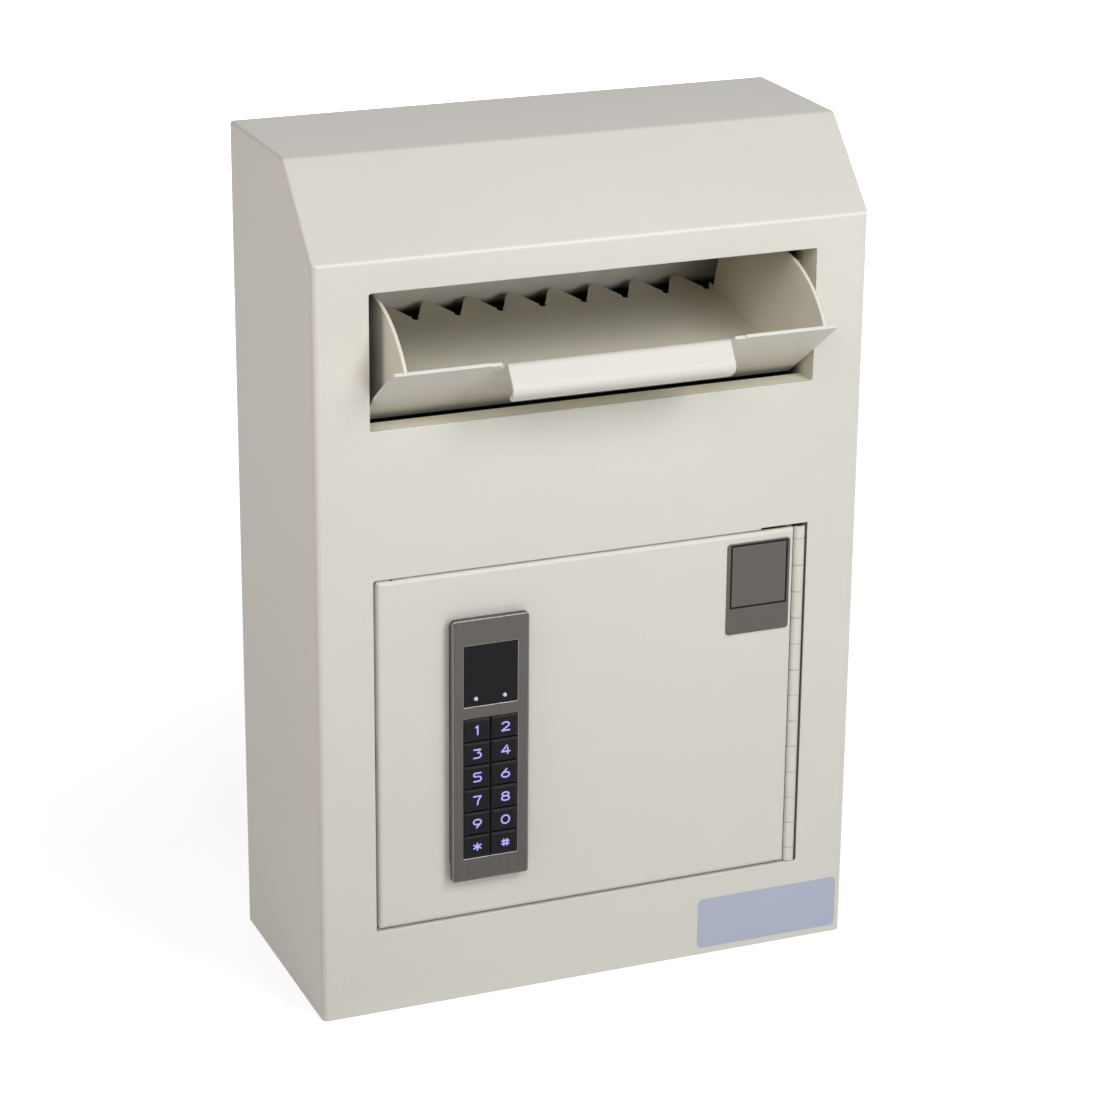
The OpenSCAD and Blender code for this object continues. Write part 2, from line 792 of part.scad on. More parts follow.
// Open spring clips that keep the pins in their bushes
module pivot_clips() color("slategray") tipped() both_sides()
    along_x(bush_end + clear, bush_end + clear + clip_t) difference() {
        circle(pin_r + clip_w);
        circle(pin_r);
        translate([0, -pin_r * 0.8]) square([pin_r + clip_w + 1, pin_r * 1.6]);
    }

// The door: a tray of folded sheet, cut for the keypad and the bolt
module door_panel() color("ivory") {
    difference() {
        tray_form(0);
        tray_form(door_t);
        along_y(front - 1, panel_in + 1) tub_outline(clear);
        bolt_way(panel_left - 1, panel_left + door_t + 1);
        block([slot_x, front - 1, panel_top - slot_drop], [panel_right + 1, rear, panel_top + 1]);
        block([slot_x, panel_in, panel_top - door_t - 1], [panel_right - door_t, rear, panel_top + 1]);
        for (z = [panel_bottom - 1, panel_top - door_t])
            block([panel_left + corner_relief[0], front + 1, z],
                [panel_left + corner_relief[0] + corner_relief[1], rear, z + door_t + 1]);
        keypad_screw_places() bar_y([0, front - 1, 0], door_t + 2, screw_r + screw_play);
    }
}

// The door's block form with its folds, drawn smaller by inset and open at the back
module tray_form(inset) {
    x = [panel_left + inset, panel_right - inset];
    z = [panel_bottom + inset, panel_top - inset];
    y = [front + inset, panel_end + (inset > 0 ? 1 : 0)];
    r = max(0.2, door_r - inset);
    intersection() {
        translate([0, 0, z[0]]) linear_extrude(z[1] - z[0])
            rounded([[x[0], y[0]], [x[1], y[0]], [x[1], y[1]], [x[0], y[1]]], [r, r, 0, 0]);
        along_x(x[0], x[1])
            rounded([[y[0], z[0]], [y[1], z[0]], [y[1], z[1]], [y[0], z[1]]], [r, 0, 0, r]);
        along_y(y[0], y[1]) rounded_rect([x[0], z[0]], [x[1], z[1]], opening_r);
    }
}

// Outline of the housing's part inside the door, drawn larger by extra
module tub_outline(extra) {
    translate([-keypad_x, 0]) rounded_rect([-tub[0] / 2 - extra, tub_z - extra],
        [tub[0] / 2 + extra, tub_z + tub[1] + extra], tub_r);
}

module keypad_screw_places() {
    z = (housing[1] - tub[1]) / 4;
    for (x = [-pad_screw_x, pad_screw_x], at = [housing_z + z, housing_z + housing[1] - z])
        translate([x - keypad_x, 0, at]) children();
}

module keypad_housing() color("dimgray") translate([-keypad_x, 0, 0]) difference() {
    union() {
        along_y(housing_front, front) rounded_rect([-housing[0] / 2, housing_z],
            [housing[0] / 2, housing_z + housing[1]], bezel_r);
        along_y(front - e, tub_back)
            rounded_rect([-tub[0] / 2, tub_z], [tub[0] / 2, tub_z + tub[1]], tub_r);
    }
    along_y(housing_front - 1, board_back)
        rounded_rect([tub_wall - tub[0] / 2, tub_z + tub_wall],
            [tub[0] / 2 - tub_wall, tub_z + tub[1] - tub_wall], tub_r - tub_wall);
    along_y(housing_front - 1, mat_front) rounded_rect([-keys_w / 2 - clear, keys_z - clear],
        [keys_w / 2 + clear, keys_z + keys_h + clear], face_r);
    bar_y([0, board_back - 1, lead_z], tub_t + 2, lead_d / 2);
    translate([keypad_x, 0, 0]) keypad_screw_places()
        bar_y([0, front - pad_screw_l - screw_play, 0], 2 * pad_screw_l, screw_r);
}

module keypad_bezel() color("darkgray") translate([-keypad_x, 0, 0]) difference() {
    chamfer = bezel_edge;
    w = bezel[0] / 2;
    intersection() {
        along_y(bezel_front, housing_front)
            rounded_rect([-w, keypad_z], [w, keypad_z + bezel[1]], bezel_r);
        along_x(-w, w) polygon([
            [bezel_front, keypad_z + chamfer], [bezel_front + chamfer, keypad_z], [housing_front, keypad_z],
            [housing_front, keypad_z + bezel[1]], [bezel_front + chamfer, keypad_z + bezel[1]],
            [bezel_front, keypad_z + bezel[1] - chamfer]
        ]);
        translate([0, 0, keypad_z]) linear_extrude(bezel[1]) polygon([
            [-w, bezel_front + chamfer], [chamfer - w, bezel_front], [w - chamfer, bezel_front],
            [w, bezel_front + chamfer], [w, housing_front], [-w, housing_front]
        ]);
    }
    along_y(bezel_front - 1, housing_front + 1)
        rounded_rect([-keys_w / 2, keys_z], [keys_w / 2, keys_z + keys_h], face_r);
    along_y(bezel_front - 1, housing_front + 1)
        rounded_rect([-window[0] / 2, window_z], [window[0] / 2, window_z + window[1]], face_r);
}

module lamp_places() {
    for (side = [-1, 1])
        translate([side * lamp_pitch / 2 - keypad_x, 0, window_z + lamp_up]) children();
}

module display_window() color("black") difference() {
    translate([-keypad_x, 0, 0]) along_y(bezel_front + window_sunk, housing_front + 2 * window_sunk)
        rounded_rect([window_play - window[0] / 2, window_z + window_play],
            [window[0] / 2 - window_play, window_z + window[1] - window_play], face_r - window_play);
    lamp_places() bar_y([0, bezel_front - 1, 0], bezel[2] + 4, lamp_d / 2 + lamp_play);
}

module status_lamps() color("white") lamp_places() {
    dome = lamp_d / 2;
    y = bezel_front + lamp_sunk;
    bar_y([0, y, 0], board_front - y, dome);
    intersection() {
        translate([0, y, 0]) sphere(r = dome);
        block([-dome, y - dome, -dome], [dome, y + 2 * e, dome]);
    }
}

module key_mat() color("dimgray") translate([-keypad_x, 0, 0]) along_y(mat_front, board_front)
    rounded_rect([mat_in - tub[0] / 2, tub_z + mat_in],
        [tub[0] / 2 - mat_in, keys_z + keys_h + tub_wall], tub_r - tub_wall);

module keypad_board() color("darkgreen") translate([-keypad_x, 0, 0]) along_y(board_front, board_back)
    rounded_rect([board_in - tub[0] / 2, tub_z + board_in],
        [tub[0] / 2 - board_in, tub_z + tub[1] - board_in], tub_r - board_in);

module keypad_screws() color("silver") keypad_screw_places() {
    bar_y([0, front - pad_screw_l, 0], door_t + pad_screw_l + e, screw_r);
    bar_y([0, panel_in, 0], head_h, head_r);
}

// One key in the given column and row, counted from the lowest row
module key_cap(column, row) {
    x = (column - 0.5) * key_pitch[0] - keypad_x;
    z = keys_z + (row + 0.5) * key_pitch[1];
    w = key[0] / 2;
    h = key[1] / 2;
    b = key_bevel;
    color("darkslategray") translate([x, 0, z]) intersection() {
        along_x(-w, w) polygon([
            [key_back, -h], [key_back, h], [key_front + key_proud, h], [key_front, h - b],
            [key_front, b - h], [key_front + key_proud, -h]
        ]);
        translate([0, 0, -h]) linear_extrude(2 * h) polygon([
            [-w, key_back], [-w, key_front + key_proud], [b - w, key_front],
            [w - b, key_front], [w, key_front + key_proud], [w, key_back]
        ]);
    }
}

module key_1() key_cap(0, 5);
module key_2() key_cap(1, 5);
module key_3() key_cap(0, 4);
module key_4() key_cap(1, 4);
module key_5() key_cap(0, 3);
module key_6() key_cap(1, 3);
module key_7() key_cap(0, 2);
module key_8() key_cap(1, 2);
module key_9() key_cap(0, 1);
module key_0() key_cap(1, 1);
module key_star() key_cap(0, 0);
module key_hash() key_cap(1, 0);

module lock_corners() {
    in = case_t + post_r - post_sunk;
    for (x = [lock_x + in, lock_x + lock[0] - in], z = [lock_z + in, lock_z + lock[2] - in])
        translate([x, 0, z]) children();
}

module motor_screw_places() {
    for (side = [-1, 1])
        translate([axle[0] + side * motor_screw, 0, axle[1]]) children();
}

module keeper_screw_places() {
    for (x = [rail_x + rail_screw, rail_x + rail_l - rail_screw])
        translate([x, 0, bolt_z + bolt[2] + bolt_fit + rail_h / 2]) children();
}

// The lock case: a tray with posts for its cover and its motor, and a rail above the bolt
module lock_case() color("darkgray") {
    in_low = [lock_x + case_t, case_floor, lock_z + case_t];
    in_high = [lock_x + lock[0] - case_t, lock_back + 1, lock_z + lock[2] - case_t];
    difference() {
        union() {
            difference() {
                block([lock_x, panel_in, lock_z], [lock_x + lock[0], lock_back, lock_z + lock[2]]);
                block(in_low, in_high);
            }
            lock_corners() bar_y([0, case_floor - e, 0], lock_back - case_floor + e, post_r);
            motor_screw_places()
                bar_y([0, case_floor - e, 0], motor_front - case_floor + e, motor_post_r);
            block([rail_x, case_floor - e, bolt_z + bolt[2] + bolt_fit],
                [rail_x + rail_l, bolt_y + bolt[1] + bolt_fit, bolt_z + bolt[2] + bolt_fit + rail_h]);
            board_posts();
        }
        bolt_way(lock_x - 1, lock_x + case_t + 1);
        lock_corners() bar_y([0, lock_back - cover_screw_l - blind, 0], cover_screw_l + 2, screw_r);
        motor_screw_places()
            bar_y([0, motor_front - inner_screw_l - blind, 0], inner_screw_l + 2, screw_r);
        keeper_screw_places()
            bar_y([0, bolt_y + bolt[1] + bolt_fit - inner_screw_l - blind, 0], inner_screw_l + 2, screw_r);
        bar_y([axle[0], panel_in + axle_seat, axle[1]], case_t, shaft_d / 2 + running);
        bar_y([-keypad_x, panel_in - 1, lead_z], case_t + 2, lead_d / 2);
        bar_x([lock_x + lock[0] - case_t - 1, lead_y, lead_z], case_t + 2, lead_d / 2);
    }
}

module lock_cover() color("darkgray") difference() {
    block([lock_x, lock_back, lock_z], [lock_x + lock[0], lock_back + cover_t, lock_z + lock[2]]);
    lock_corners() bar_y([0, lock_back - 1, 0], cover_t + 2, screw_r + screw_play);
}

module lock_screws() color("silver") {
    lock_corners() {
        bar_y([0, lock_back - cover_screw_l, 0], cover_t + cover_screw_l + e, screw_r);
        bar_y([0, lock_back + cover_t, 0], head_h, head_r);
    }
    motor_screw_places() {
        bar_y([0, motor_front - inner_screw_l, 0], flange_t + inner_screw_l + e, screw_r);
        bar_y([0, motor_front + flange_t, 0], head_h, motor_head_r);
    }
    keeper_screw_places() {
        y = bolt_y + bolt[1] + bolt_fit;
        bar_y([0, y - inner_screw_l, 0], keeper_t + inner_screw_l + e, screw_r);
        bar_y([0, y + keeper_t, 0], head_h, head_r);
    }
}

// A strap on the rail that keeps the bolt from leaving its place towards the cover
module bolt_keeper() color("silver") difference() {
    y = bolt_y + bolt[1] + bolt_fit;
    block([rail_x, y, bolt_z + bolt[2] - keeper_over],
        [rail_x + rail_l, y + keeper_t, bolt_z + bolt[2] + bolt_fit + rail_h]);
    keeper_screw_places() bar_y([0, y - 1, 0], keeper_t + 2, screw_r + screw_play);
}

// The gear motor: a round can on a flange that is screwed to the lock case's posts
module lock_motor() color("silver") difference() {
    union() {
        along_y(motor_front, motor_front + flange_t) translate([axle[0], axle[1]])
            rounded_rect([-flange_l / 2, -flange_h / 2], [flange_l / 2, flange_h / 2], flange_h / 2 - 0.5);
        bar_y([axle[0], motor_front, axle[1]], flange_t + motor_l, motor_d / 2);
    }
    motor_screw_places() bar_y([0, motor_front - 1, 0], motor_l + flange_t + 2, notch_r);
    bar_y([axle[0], motor_front - 1, axle[1]], flange_t + 2, shaft_d / 2 + running);
}

// Involute tooth form of the pinion
function involute(base, a) = base * [cos(a) + a * PI / 180 * sin(a), sin(a) - a * PI / 180 * cos(a)];
function turn(p, a) = [p[0] * cos(a) - p[1] * sin(a), p[0] * sin(a) + p[1] * cos(a)];

module pinion_outline() {
    pressure = 20;
    base = gear_r * cos(pressure);
    root = gear_r + (shift - 1.25) * tooth_module;
    tip = gear_r + (shift + 1) * tooth_module;
    at_pitch = acos(base / gear_r);
    inv_pitch = tan(at_pitch) * 180 / PI - at_pitch;
    thick = tooth_module * (PI / 2 + 2 * shift * tan(pressure)) - mesh_play;
    half_angle = thick / 2 / gear_r * 180 / PI + inv_pitch;
    roll = tan(acos(base / tip)) * 180 / PI;
    steps = 5;
    flank = [for (i = [0 : steps]) turn(involute(base, roll * i / steps), -half_angle)];
    for (k = [0 : pinion_teeth - 1])
        rotate(k * 360 / pinion_teeth + 90) polygon(concat(
            [turn([root - 1, 0], -half_angle)], flank,
            [for (i = [steps : -1 : 0]) [flank[i][0], -flank[i][1]]],
            [turn([root - 1, 0], half_angle)]
        ));
    circle(root);
}

module drive_pinion() color("gold") translate([axle[0], pinion_y + pinion_w, axle[1]])
    rotate([90, 0, 0]) linear_extrude(pinion_w) difference() {
        pinion_outline();
        circle(shaft_d / 2);
    }

module pinion_shaft() color("silver")
    bar_y([axle[0], panel_in + axle_start, axle[1]],
        motor_front + axle_over - panel_in - axle_start, shaft_d / 2);

// The bolt: a square bar with a rack cut in its underside
module latch_bolt() color("silver") {
    lift = 1.25;
    depth = 1 + lift;
    half_root = tooth_module * (PI / 4 - lift * tan(20)) + mesh_play / 2;
    half_tip = tooth_module * (PI / 4 + tan(20)) + mesh_play / 2;
    difference() {
        along_y(bolt_y, bolt_y + bolt[1])
            rounded_rect([bolt_x, bolt_z], [bolt_x + bolt[0], bolt_z + bolt[2]], bolt_r);
        for (k = [-2 : 5])
            translate([axle[0] + k * PI * tooth_module, 0, bolt_z])
                along_y(bolt_y - 1, bolt_y + bolt[1] + 1) polygon([
                    [-half_tip - 0.1, -0.3], [half_tip + 0.1, -0.3], [half_root, depth * tooth_module],
                    [-half_root, depth * tooth_module]
                ]);
    }
}

module board_posts() {
    in = board_post_in;
    for (x = [board_x + in, board_x + board[0] - in], z = [board_z + in, board_z + board[1] - in])
        bar_y([x, case_floor - e, z], board_y - case_floor + e, board_post_r);
}

module lock_board() color("darkgreen") along_y(board_y, board_y + lock_board_t)
    rounded_rect([board_x, board_z], [board_x + board[0], board_z + board[1]], board_r);

module keypad_lead() color("black")
    bar_y([-keypad_x, board_back, lead_z], board_y - board_back, lead_d / 2 - lead_play);

module battery_lead() color("black")
    bar_x([board_x + board[0], lead_y, lead_z], box_x - board_x - board[0], lead_d / 2 - lead_play);

module battery_box() color("dimgray") difference() {
    block([box_x, panel_in, box_z], [box_x + box_w, box_back, box_z + box_h]);
    block([box_x + box_t, panel_in + box_t, box_z + box_t],
        [box_x + box_w - box_t, box_back + 1, box_z + box_h - box_t]);
}

module battery_cover() color("dimgray") {
    block([box_x, box_back, box_z], [box_x + box_w, box_back + cover_t, box_z + box_h]);
    block([box_x + (box_w - tab[0]) / 2, box_back + cover_t - e, box_z + box_h - tab_down - tab[2]],
        [box_x + (box_w + tab[0]) / 2, box_back + cover_t + tab[1], box_z + box_h - tab_down]);
}

module batteries() color("darkgoldenrod")
    for (i = [0 : battery_count - 1])
        translate([box_x + box_t + (i + 0.5) * cell, panel_in + box_t + battery[0] / 2 + 0.1,
            box_z + box_t + cell_up]) {
            up = i % 2 == 0;
            sunk = cell_tip[1] - 2 * e;
            translate([0, 0, up ? 0 : sunk]) cylinder(h = battery[1] - sunk, d = battery[0]);
            translate([0, 0, up ? battery[1] - cell_tip[1] : 0])
                cylinder(h = cell_tip[1], r = cell_tip[0]);
        }

front_wrap();
top_wrap();
bottom_plate();
back_panel();
drop_sill();
drop_head();
cheek_left();
cheek_right();
stop_studs();
pivot_bushes();
door_frame();
strike_plate();
hinge_frame_leaf();
hinge_pin();
hopper_flap();
hopper_floor();
hopper_side_left();
hopper_side_right();
pivot_pins();
pivot_clips();
door_panel();
hinge_door_leaf();
keypad_housing();
keypad_bezel();
display_window();
status_lamps();
key_mat();
keypad_board();
keypad_screws();
lock_case();
lock_cover();
lock_screws();
bolt_keeper();
lock_motor();
lock_board();
keypad_lead();
battery_box();
battery_cover();
batteries();
battery_lead();
latch_bolt();
drive_pinion();
pinion_shaft();
key_1();
key_2();
key_3();
key_4();
key_5();
key_6();
key_7();
key_8();
key_9();
key_0();
key_star();
key_hash();
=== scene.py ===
# %% [markdown]
# # Finishing a deposit safe
# The safe comes in as a imported CAD model: folded steel sheets, a tilting hopper, a hinged door
# with a keypad, and the lock behind it. Everything is already in its place and in metres.
# What is missing is how it looks: the powder coat, the brushed bezel, the lit keys, the plates.
# We load the model first.

# %% Load the imported safe
import math

import bmesh
import bpy
from mathutils import Matrix, Vector


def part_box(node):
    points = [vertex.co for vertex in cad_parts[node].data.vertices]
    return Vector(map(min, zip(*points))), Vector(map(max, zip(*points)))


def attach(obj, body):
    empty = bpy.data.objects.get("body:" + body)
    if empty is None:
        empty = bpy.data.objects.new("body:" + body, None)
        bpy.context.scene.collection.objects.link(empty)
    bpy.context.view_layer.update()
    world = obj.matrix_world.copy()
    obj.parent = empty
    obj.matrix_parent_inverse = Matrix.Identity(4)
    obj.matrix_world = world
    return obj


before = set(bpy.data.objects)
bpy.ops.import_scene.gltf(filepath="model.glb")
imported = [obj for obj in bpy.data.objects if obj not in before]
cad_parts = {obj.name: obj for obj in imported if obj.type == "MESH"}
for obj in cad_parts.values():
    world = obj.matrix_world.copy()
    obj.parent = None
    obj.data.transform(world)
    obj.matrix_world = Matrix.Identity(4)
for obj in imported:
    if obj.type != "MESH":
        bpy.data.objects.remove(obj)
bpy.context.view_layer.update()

# %% [markdown]
# ## Camera
# A product photograph is taken from a distance with a long lens, so that upright edges stay
# almost parallel. This one stands to the left of the safe and looks down on it by some
# twenty degrees. The lens follows from how fast the edges draw together in the picture.

# %% Place the camera
LENS_MM = 112.15
SENSOR_MM = 36
CAMERA_AT = (-0.54483, -1.33800, 0.72338)
CAMERA_TURN = (69.6285, -0.4621, -22.0291)
SAFE_MIDDLE = Vector((0, 0, 0.19))

camera_data = bpy.data.cameras.new("camera")
camera_data.lens = LENS_MM
camera_data.sensor_width = SENSOR_MM
camera_data.clip_start = 0.05
camera = bpy.data.objects.new("camera", camera_data)
camera.location = CAMERA_AT
camera.rotation_euler = [math.radians(angle) for angle in CAMERA_TURN]
bpy.context.scene.collection.objects.link(camera)
bpy.context.scene.camera = camera
print("camera to the safe's middle", round((camera.location - SAFE_MIDDLE).length, 2), "m")

# %% [markdown]
# ## Floor and surroundings
# The safe stands on a plain pale floor. The camera should see it almost white, but a white
# floor lit until it is white would also light the safe from below. So the floor's material
# looks at the kind of ray: what the camera, a reflection or glass sees gets some extra white
# by emission, and light that bounces on to the safe finds only the plain pale paint. The extra
# white grows with the distance: close to the safe its soft shadow shows, and further off the
# floor melts into the background. The world does the same trick: it is white to look at, and a
# soft dim fill for what it lights.

# %% Helpers for nodes and materials
def add(tree, kind, values=None, **settings):
    """Adds one shader node, with its settings and the values of its inputs."""
    node = tree.nodes.new("ShaderNode" + kind)
    for name, value in settings.items():
        setattr(node, name, value)
    for name, value in (values or {}).items():
        node.inputs[name].default_value = value
    return node


def new_material(name):
    """A new material, its node tree and its principled shader."""
    material = bpy.data.materials.new(name)
    material.use_nodes = True
    tree = material.node_tree
    return material, tree, tree.nodes["Principled BSDF"]


def seen_directly(tree):
    """A mask of 1 for camera, glossy and transmission rays."""
    path = add(tree, "LightPath")
    first = add(tree, "Math", operation="MAXIMUM")
    second = add(tree, "Math", operation="MAXIMUM")
    tree.links.new(path.outputs["Is Camera Ray"], first.inputs[0])
    tree.links.new(path.outputs["Is Glossy Ray"], first.inputs[1])
    tree.links.new(first.outputs[0], second.inputs[0])
    tree.links.new(path.outputs["Is Transmission Ray"], second.inputs[1])
    return second.outputs[0]


# %% The floor
WHITE = (1, 1, 1, 1)
FLOOR_RADIUS = 8
FLOOR_GREY = (0.65, 0.65, 0.65)
SHADOW_REACH, WHITE_REACH = 0.2, 0.7
NEAR_GLOW, FAR_GLOW = 0.68, 1.0


def new_object(name, mesh_builder):
    """Makes an object at the origin from a bmesh, with its normals pointing outwards."""
    shape = bmesh.new()
    mesh_builder(shape)
    bmesh.ops.recalc_face_normals(shape, faces=shape.faces)
    mesh = bpy.data.meshes.new(name)
    shape.to_mesh(mesh)
    shape.free()
    piece = bpy.data.objects.new(name, mesh)
    bpy.context.scene.collection.objects.link(piece)
    return piece


def build_floor(shape):
    bmesh.ops.create_circle(shape, cap_ends=True, segments=64, radius=FLOOR_RADIUS)


floor = new_object("floor", build_floor)
floor_paint, tree, shader = new_material("floor_paint")
shader.inputs["Base Color"].default_value = (*FLOOR_GREY, 1)
shader.inputs["Roughness"].default_value = 0.9
shader.inputs["Specular IOR Level"].default_value = 0.1
glow = add(tree, "Emission", {"Color": WHITE})
level = add(tree, "Math", operation="MULTIPLY")
spot = add(tree, "TexCoord")
reach = add(tree, "VectorMath", operation="LENGTH")
white_by_distance = add(tree, "MapRange", {
    "From Min": SHADOW_REACH, "From Max": WHITE_REACH, "To Min": NEAR_GLOW, "To Max": FAR_GLOW})
tree.links.new(spot.outputs["Object"], reach.inputs[0])
tree.links.new(reach.outputs["Value"], white_by_distance.inputs["Value"])
tree.links.new(white_by_distance.outputs["Result"], level.inputs[1])
tree.links.new(seen_directly(tree), level.inputs[0])
tree.links.new(level.outputs[0], glow.inputs["Strength"])
both = add(tree, "AddShader")
tree.links.new(shader.outputs[0], both.inputs[0])
tree.links.new(glow.outputs[0], both.inputs[1])
tree.links.new(both.outputs[0], tree.nodes["Material Output"].inputs["Surface"])
floor.data.materials.append(floor_paint)
print("floor", 2 * FLOOR_RADIUS, "m across")

# %% The world
FILL_STRENGTH = 0.06

world = bpy.data.worlds.new("studio")
bpy.context.scene.world = world
world.use_nodes = True
tree = world.node_tree
tree.nodes.clear()
white = add(tree, "Background", {"Color": WHITE, "Strength": 1.0})
fill = add(tree, "Background", {"Color": WHITE, "Strength": FILL_STRENGTH})
mixed = add(tree, "MixShader")
tree.links.new(seen_directly(tree), mixed.inputs[0])
tree.links.new(fill.outputs[0], mixed.inputs[1])
tree.links.new(white.outputs[0], mixed.inputs[2])
tree.links.new(mixed.outputs[0], add(tree, "OutputWorld").inputs["Surface"])
bpy.context.scene.view_settings.view_transform = "Standard"
print("world: white to look at, fill", FILL_STRENGTH)

# %% [markdown]
# ## Lamps
# Large soft lamps stand round the safe as in a small studio. A lamp's power falls with the
# square of its distance, so each is given the brightness that it should add to a surface
# facing it, and the power in watts follows. Three stand near in front and above, so that the
# light falls off gently down the door, and a warmer one lights the left side. One on the right
# and one behind only lift the shadows: glossy rays don't see them, or the top sheet would shine.

# %% Soft lamps
LAMP_AIM = Vector((0, 0, 0.2))


def soft_lamp(name, azimuth, elevation, level, size=1.0, distance=1.8, colour=(1, 1, 1),
              glints=True):
    """A square lamp that faces the safe; azimuth 0 is in front of it, and 90 to its right."""
    a, e = math.radians(azimuth), math.radians(elevation)
    away = Vector((math.sin(a) * math.cos(e), -math.cos(a) * math.cos(e), math.sin(e)))
    data = bpy.data.lights.new(name, "AREA")
    data.size = size
    data.energy = level * math.pi ** 2 * distance ** 2
    data.color = colour
    lamp = bpy.data.objects.new(name, data)
    lamp.location = LAMP_AIM + away * distance
    lamp.rotation_euler = away.to_track_quat("Z", "Y").to_euler()
    lamp.visible_glossy = glints
    bpy.context.scene.collection.objects.link(lamp)
    print(name, round(data.energy, 1), "W")


COOL = (0.93, 0.95, 1.05)
WARM = (1.0, 0.89, 0.96)
soft_lamp("key_lamp", 25, 40, 0.32, 0.4, 1.1, COOL)
soft_lamp("second_lamp", -25, 38, 0.21, 0.5, 1.1, COOL)
soft_lamp("front_lamp", 14, 13, 0.22, 0.4, 1.1, COOL)
soft_lamp("left_lamp", -75, 24, 0.19, 0.5, 1.1, WARM)
soft_lamp("right_lamp", 100, 10, 0.20, glints=False)
soft_lamp("back_lamp", 165, 12, 0.30, glints=False)

# %% [markdown]
# ## Effects that several finishes share
# Powder coat and moulded plastic have a fine random relief, metals have a brushed or grainy
# one, and every edge is a little rounded. Each effect is a node group with named inputs, built
# once. A group only hands out heights, masks and normals; the shader stays in each material.

# %% Helpers for node groups
# The inputs and outputs of a Mix node share their names, so they are taken by number.
FACTOR, VECTOR_A, VECTOR_B, VECTOR_OUT = 0, 4, 5, 1
COLOUR_A, COLOUR_B, COLOUR_OUT = 6, 7, 2


def new_group(name, inputs, outputs):
    """A node group: inputs are (label, kind, value), and outputs are (label, kind)."""
    group = bpy.data.node_groups.new(name, "ShaderNodeTree")
    for label, kind, value in inputs:
        socket = group.interface.new_socket(label, in_out="INPUT", socket_type="NodeSocket" + kind)
        socket.default_value = value
    for label, kind in outputs:
        group.interface.new_socket(label, in_out="OUTPUT", socket_type="NodeSocket" + kind)
    return group, group.nodes.new("NodeGroupInput"), group.nodes.new("NodeGroupOutput")


def use_group(tree, group, values=None):
    """Places a group in a material, with values of its own."""
    node = tree.nodes.new("ShaderNodeGroup")
    node.node_tree = group
    for name, value in (values or {}).items():
        node.inputs[name].default_value = value
    return node


# %% Fine relief: the orange peel of sprayed and baked powder
peel, start, end = new_group(
    "fine_relief", [("Size", "Float", 900.0)], [("Height", "Float"), ("Tone", "Float")])
place = add(peel, "TexCoord")
grains = add(peel, "TexNoise", {"Detail": 2.0, "Roughness": 0.55})
broad = add(peel, "TexNoise", {"Scale": 14.0, "Detail": 3.0, "Roughness": 0.6})
peel.links.new(place.outputs["Object"], grains.inputs["Vector"])
peel.links.new(place.outputs["Object"], broad.inputs["Vector"])
peel.links.new(start.outputs["Size"], grains.inputs["Scale"])
peel.links.new(grains.outputs["Fac"], end.inputs["Height"])
peel.links.new(broad.outputs["Fac"], end.inputs["Tone"])

# %% Rounded edges: a normal that turns over the edge, and a mask of where it does
# Where Keep falls to 0, the edge stays sharp: two sheets that meet flush aren't rounded. The mask
# begins where the flat and the turned normal part, and both its ends are cosines between them.
EDGE_BEGINS, EDGE_FULL = 0.999, 0.92

edges, start, end = new_group(
    "soft_edge", [("Radius", "Float", 0.0005), ("Keep", "Float", 1.0)],
    [("Normal", "Vector"), ("Edge", "Float")])
round_off = add(edges, "Bevel", samples=6)
surface = add(edges, "NewGeometry")
agree = add(edges, "VectorMath", operation="DOT_PRODUCT")
turned = add(edges, "MapRange", {"From Min": EDGE_BEGINS, "From Max": EDGE_FULL})
edges.links.new(start.outputs["Radius"], round_off.inputs["Radius"])
edges.links.new(round_off.outputs["Normal"], agree.inputs[0])
edges.links.new(surface.outputs["Normal"], agree.inputs[1])
edges.links.new(agree.outputs["Value"], turned.inputs["Value"])
chosen = add(edges, "Mix", data_type="VECTOR")
edges.links.new(start.outputs["Keep"], chosen.inputs[FACTOR])
edges.links.new(surface.outputs["Normal"], chosen.inputs[VECTOR_A])
edges.links.new(round_off.outputs["Normal"], chosen.inputs[VECTOR_B])
edges.links.new(chosen.outputs[VECTOR_OUT], end.inputs["Normal"])
kept = add(edges, "Math", operation="MULTIPLY")
edges.links.new(turned.outputs["Result"], kept.inputs[0])
edges.links.new(start.outputs["Keep"], kept.inputs[1])
edges.links.new(kept.outputs[0], end.inputs["Edge"])

# %% Brushed grain: long scratches along one direction
brushed, start, end = new_group(
    "brushed_grain", [("Stretch", "Vector", (3000.0, 3000.0, 60.0))],
    [("Height", "Float"), ("Tone", "Float")])
place = add(brushed, "TexCoord")
stretch = add(brushed, "VectorMath", operation="MULTIPLY")
lines = add(brushed, "TexNoise", {"Scale": 1.0, "Detail": 2.0, "Roughness": 0.6})
brushed.links.new(place.outputs["Object"], stretch.inputs[0])
brushed.links.new(start.outputs["Stretch"], stretch.inputs[1])
brushed.links.new(stretch.outputs["Vector"], lines.inputs["Vector"])
brushed.links.new(lines.outputs["Fac"], end.inputs["Height"])
brushed.links.new(lines.outputs["Fac"], end.inputs["Tone"])
print("groups", [group.name for group in (peel, edges, brushed)])
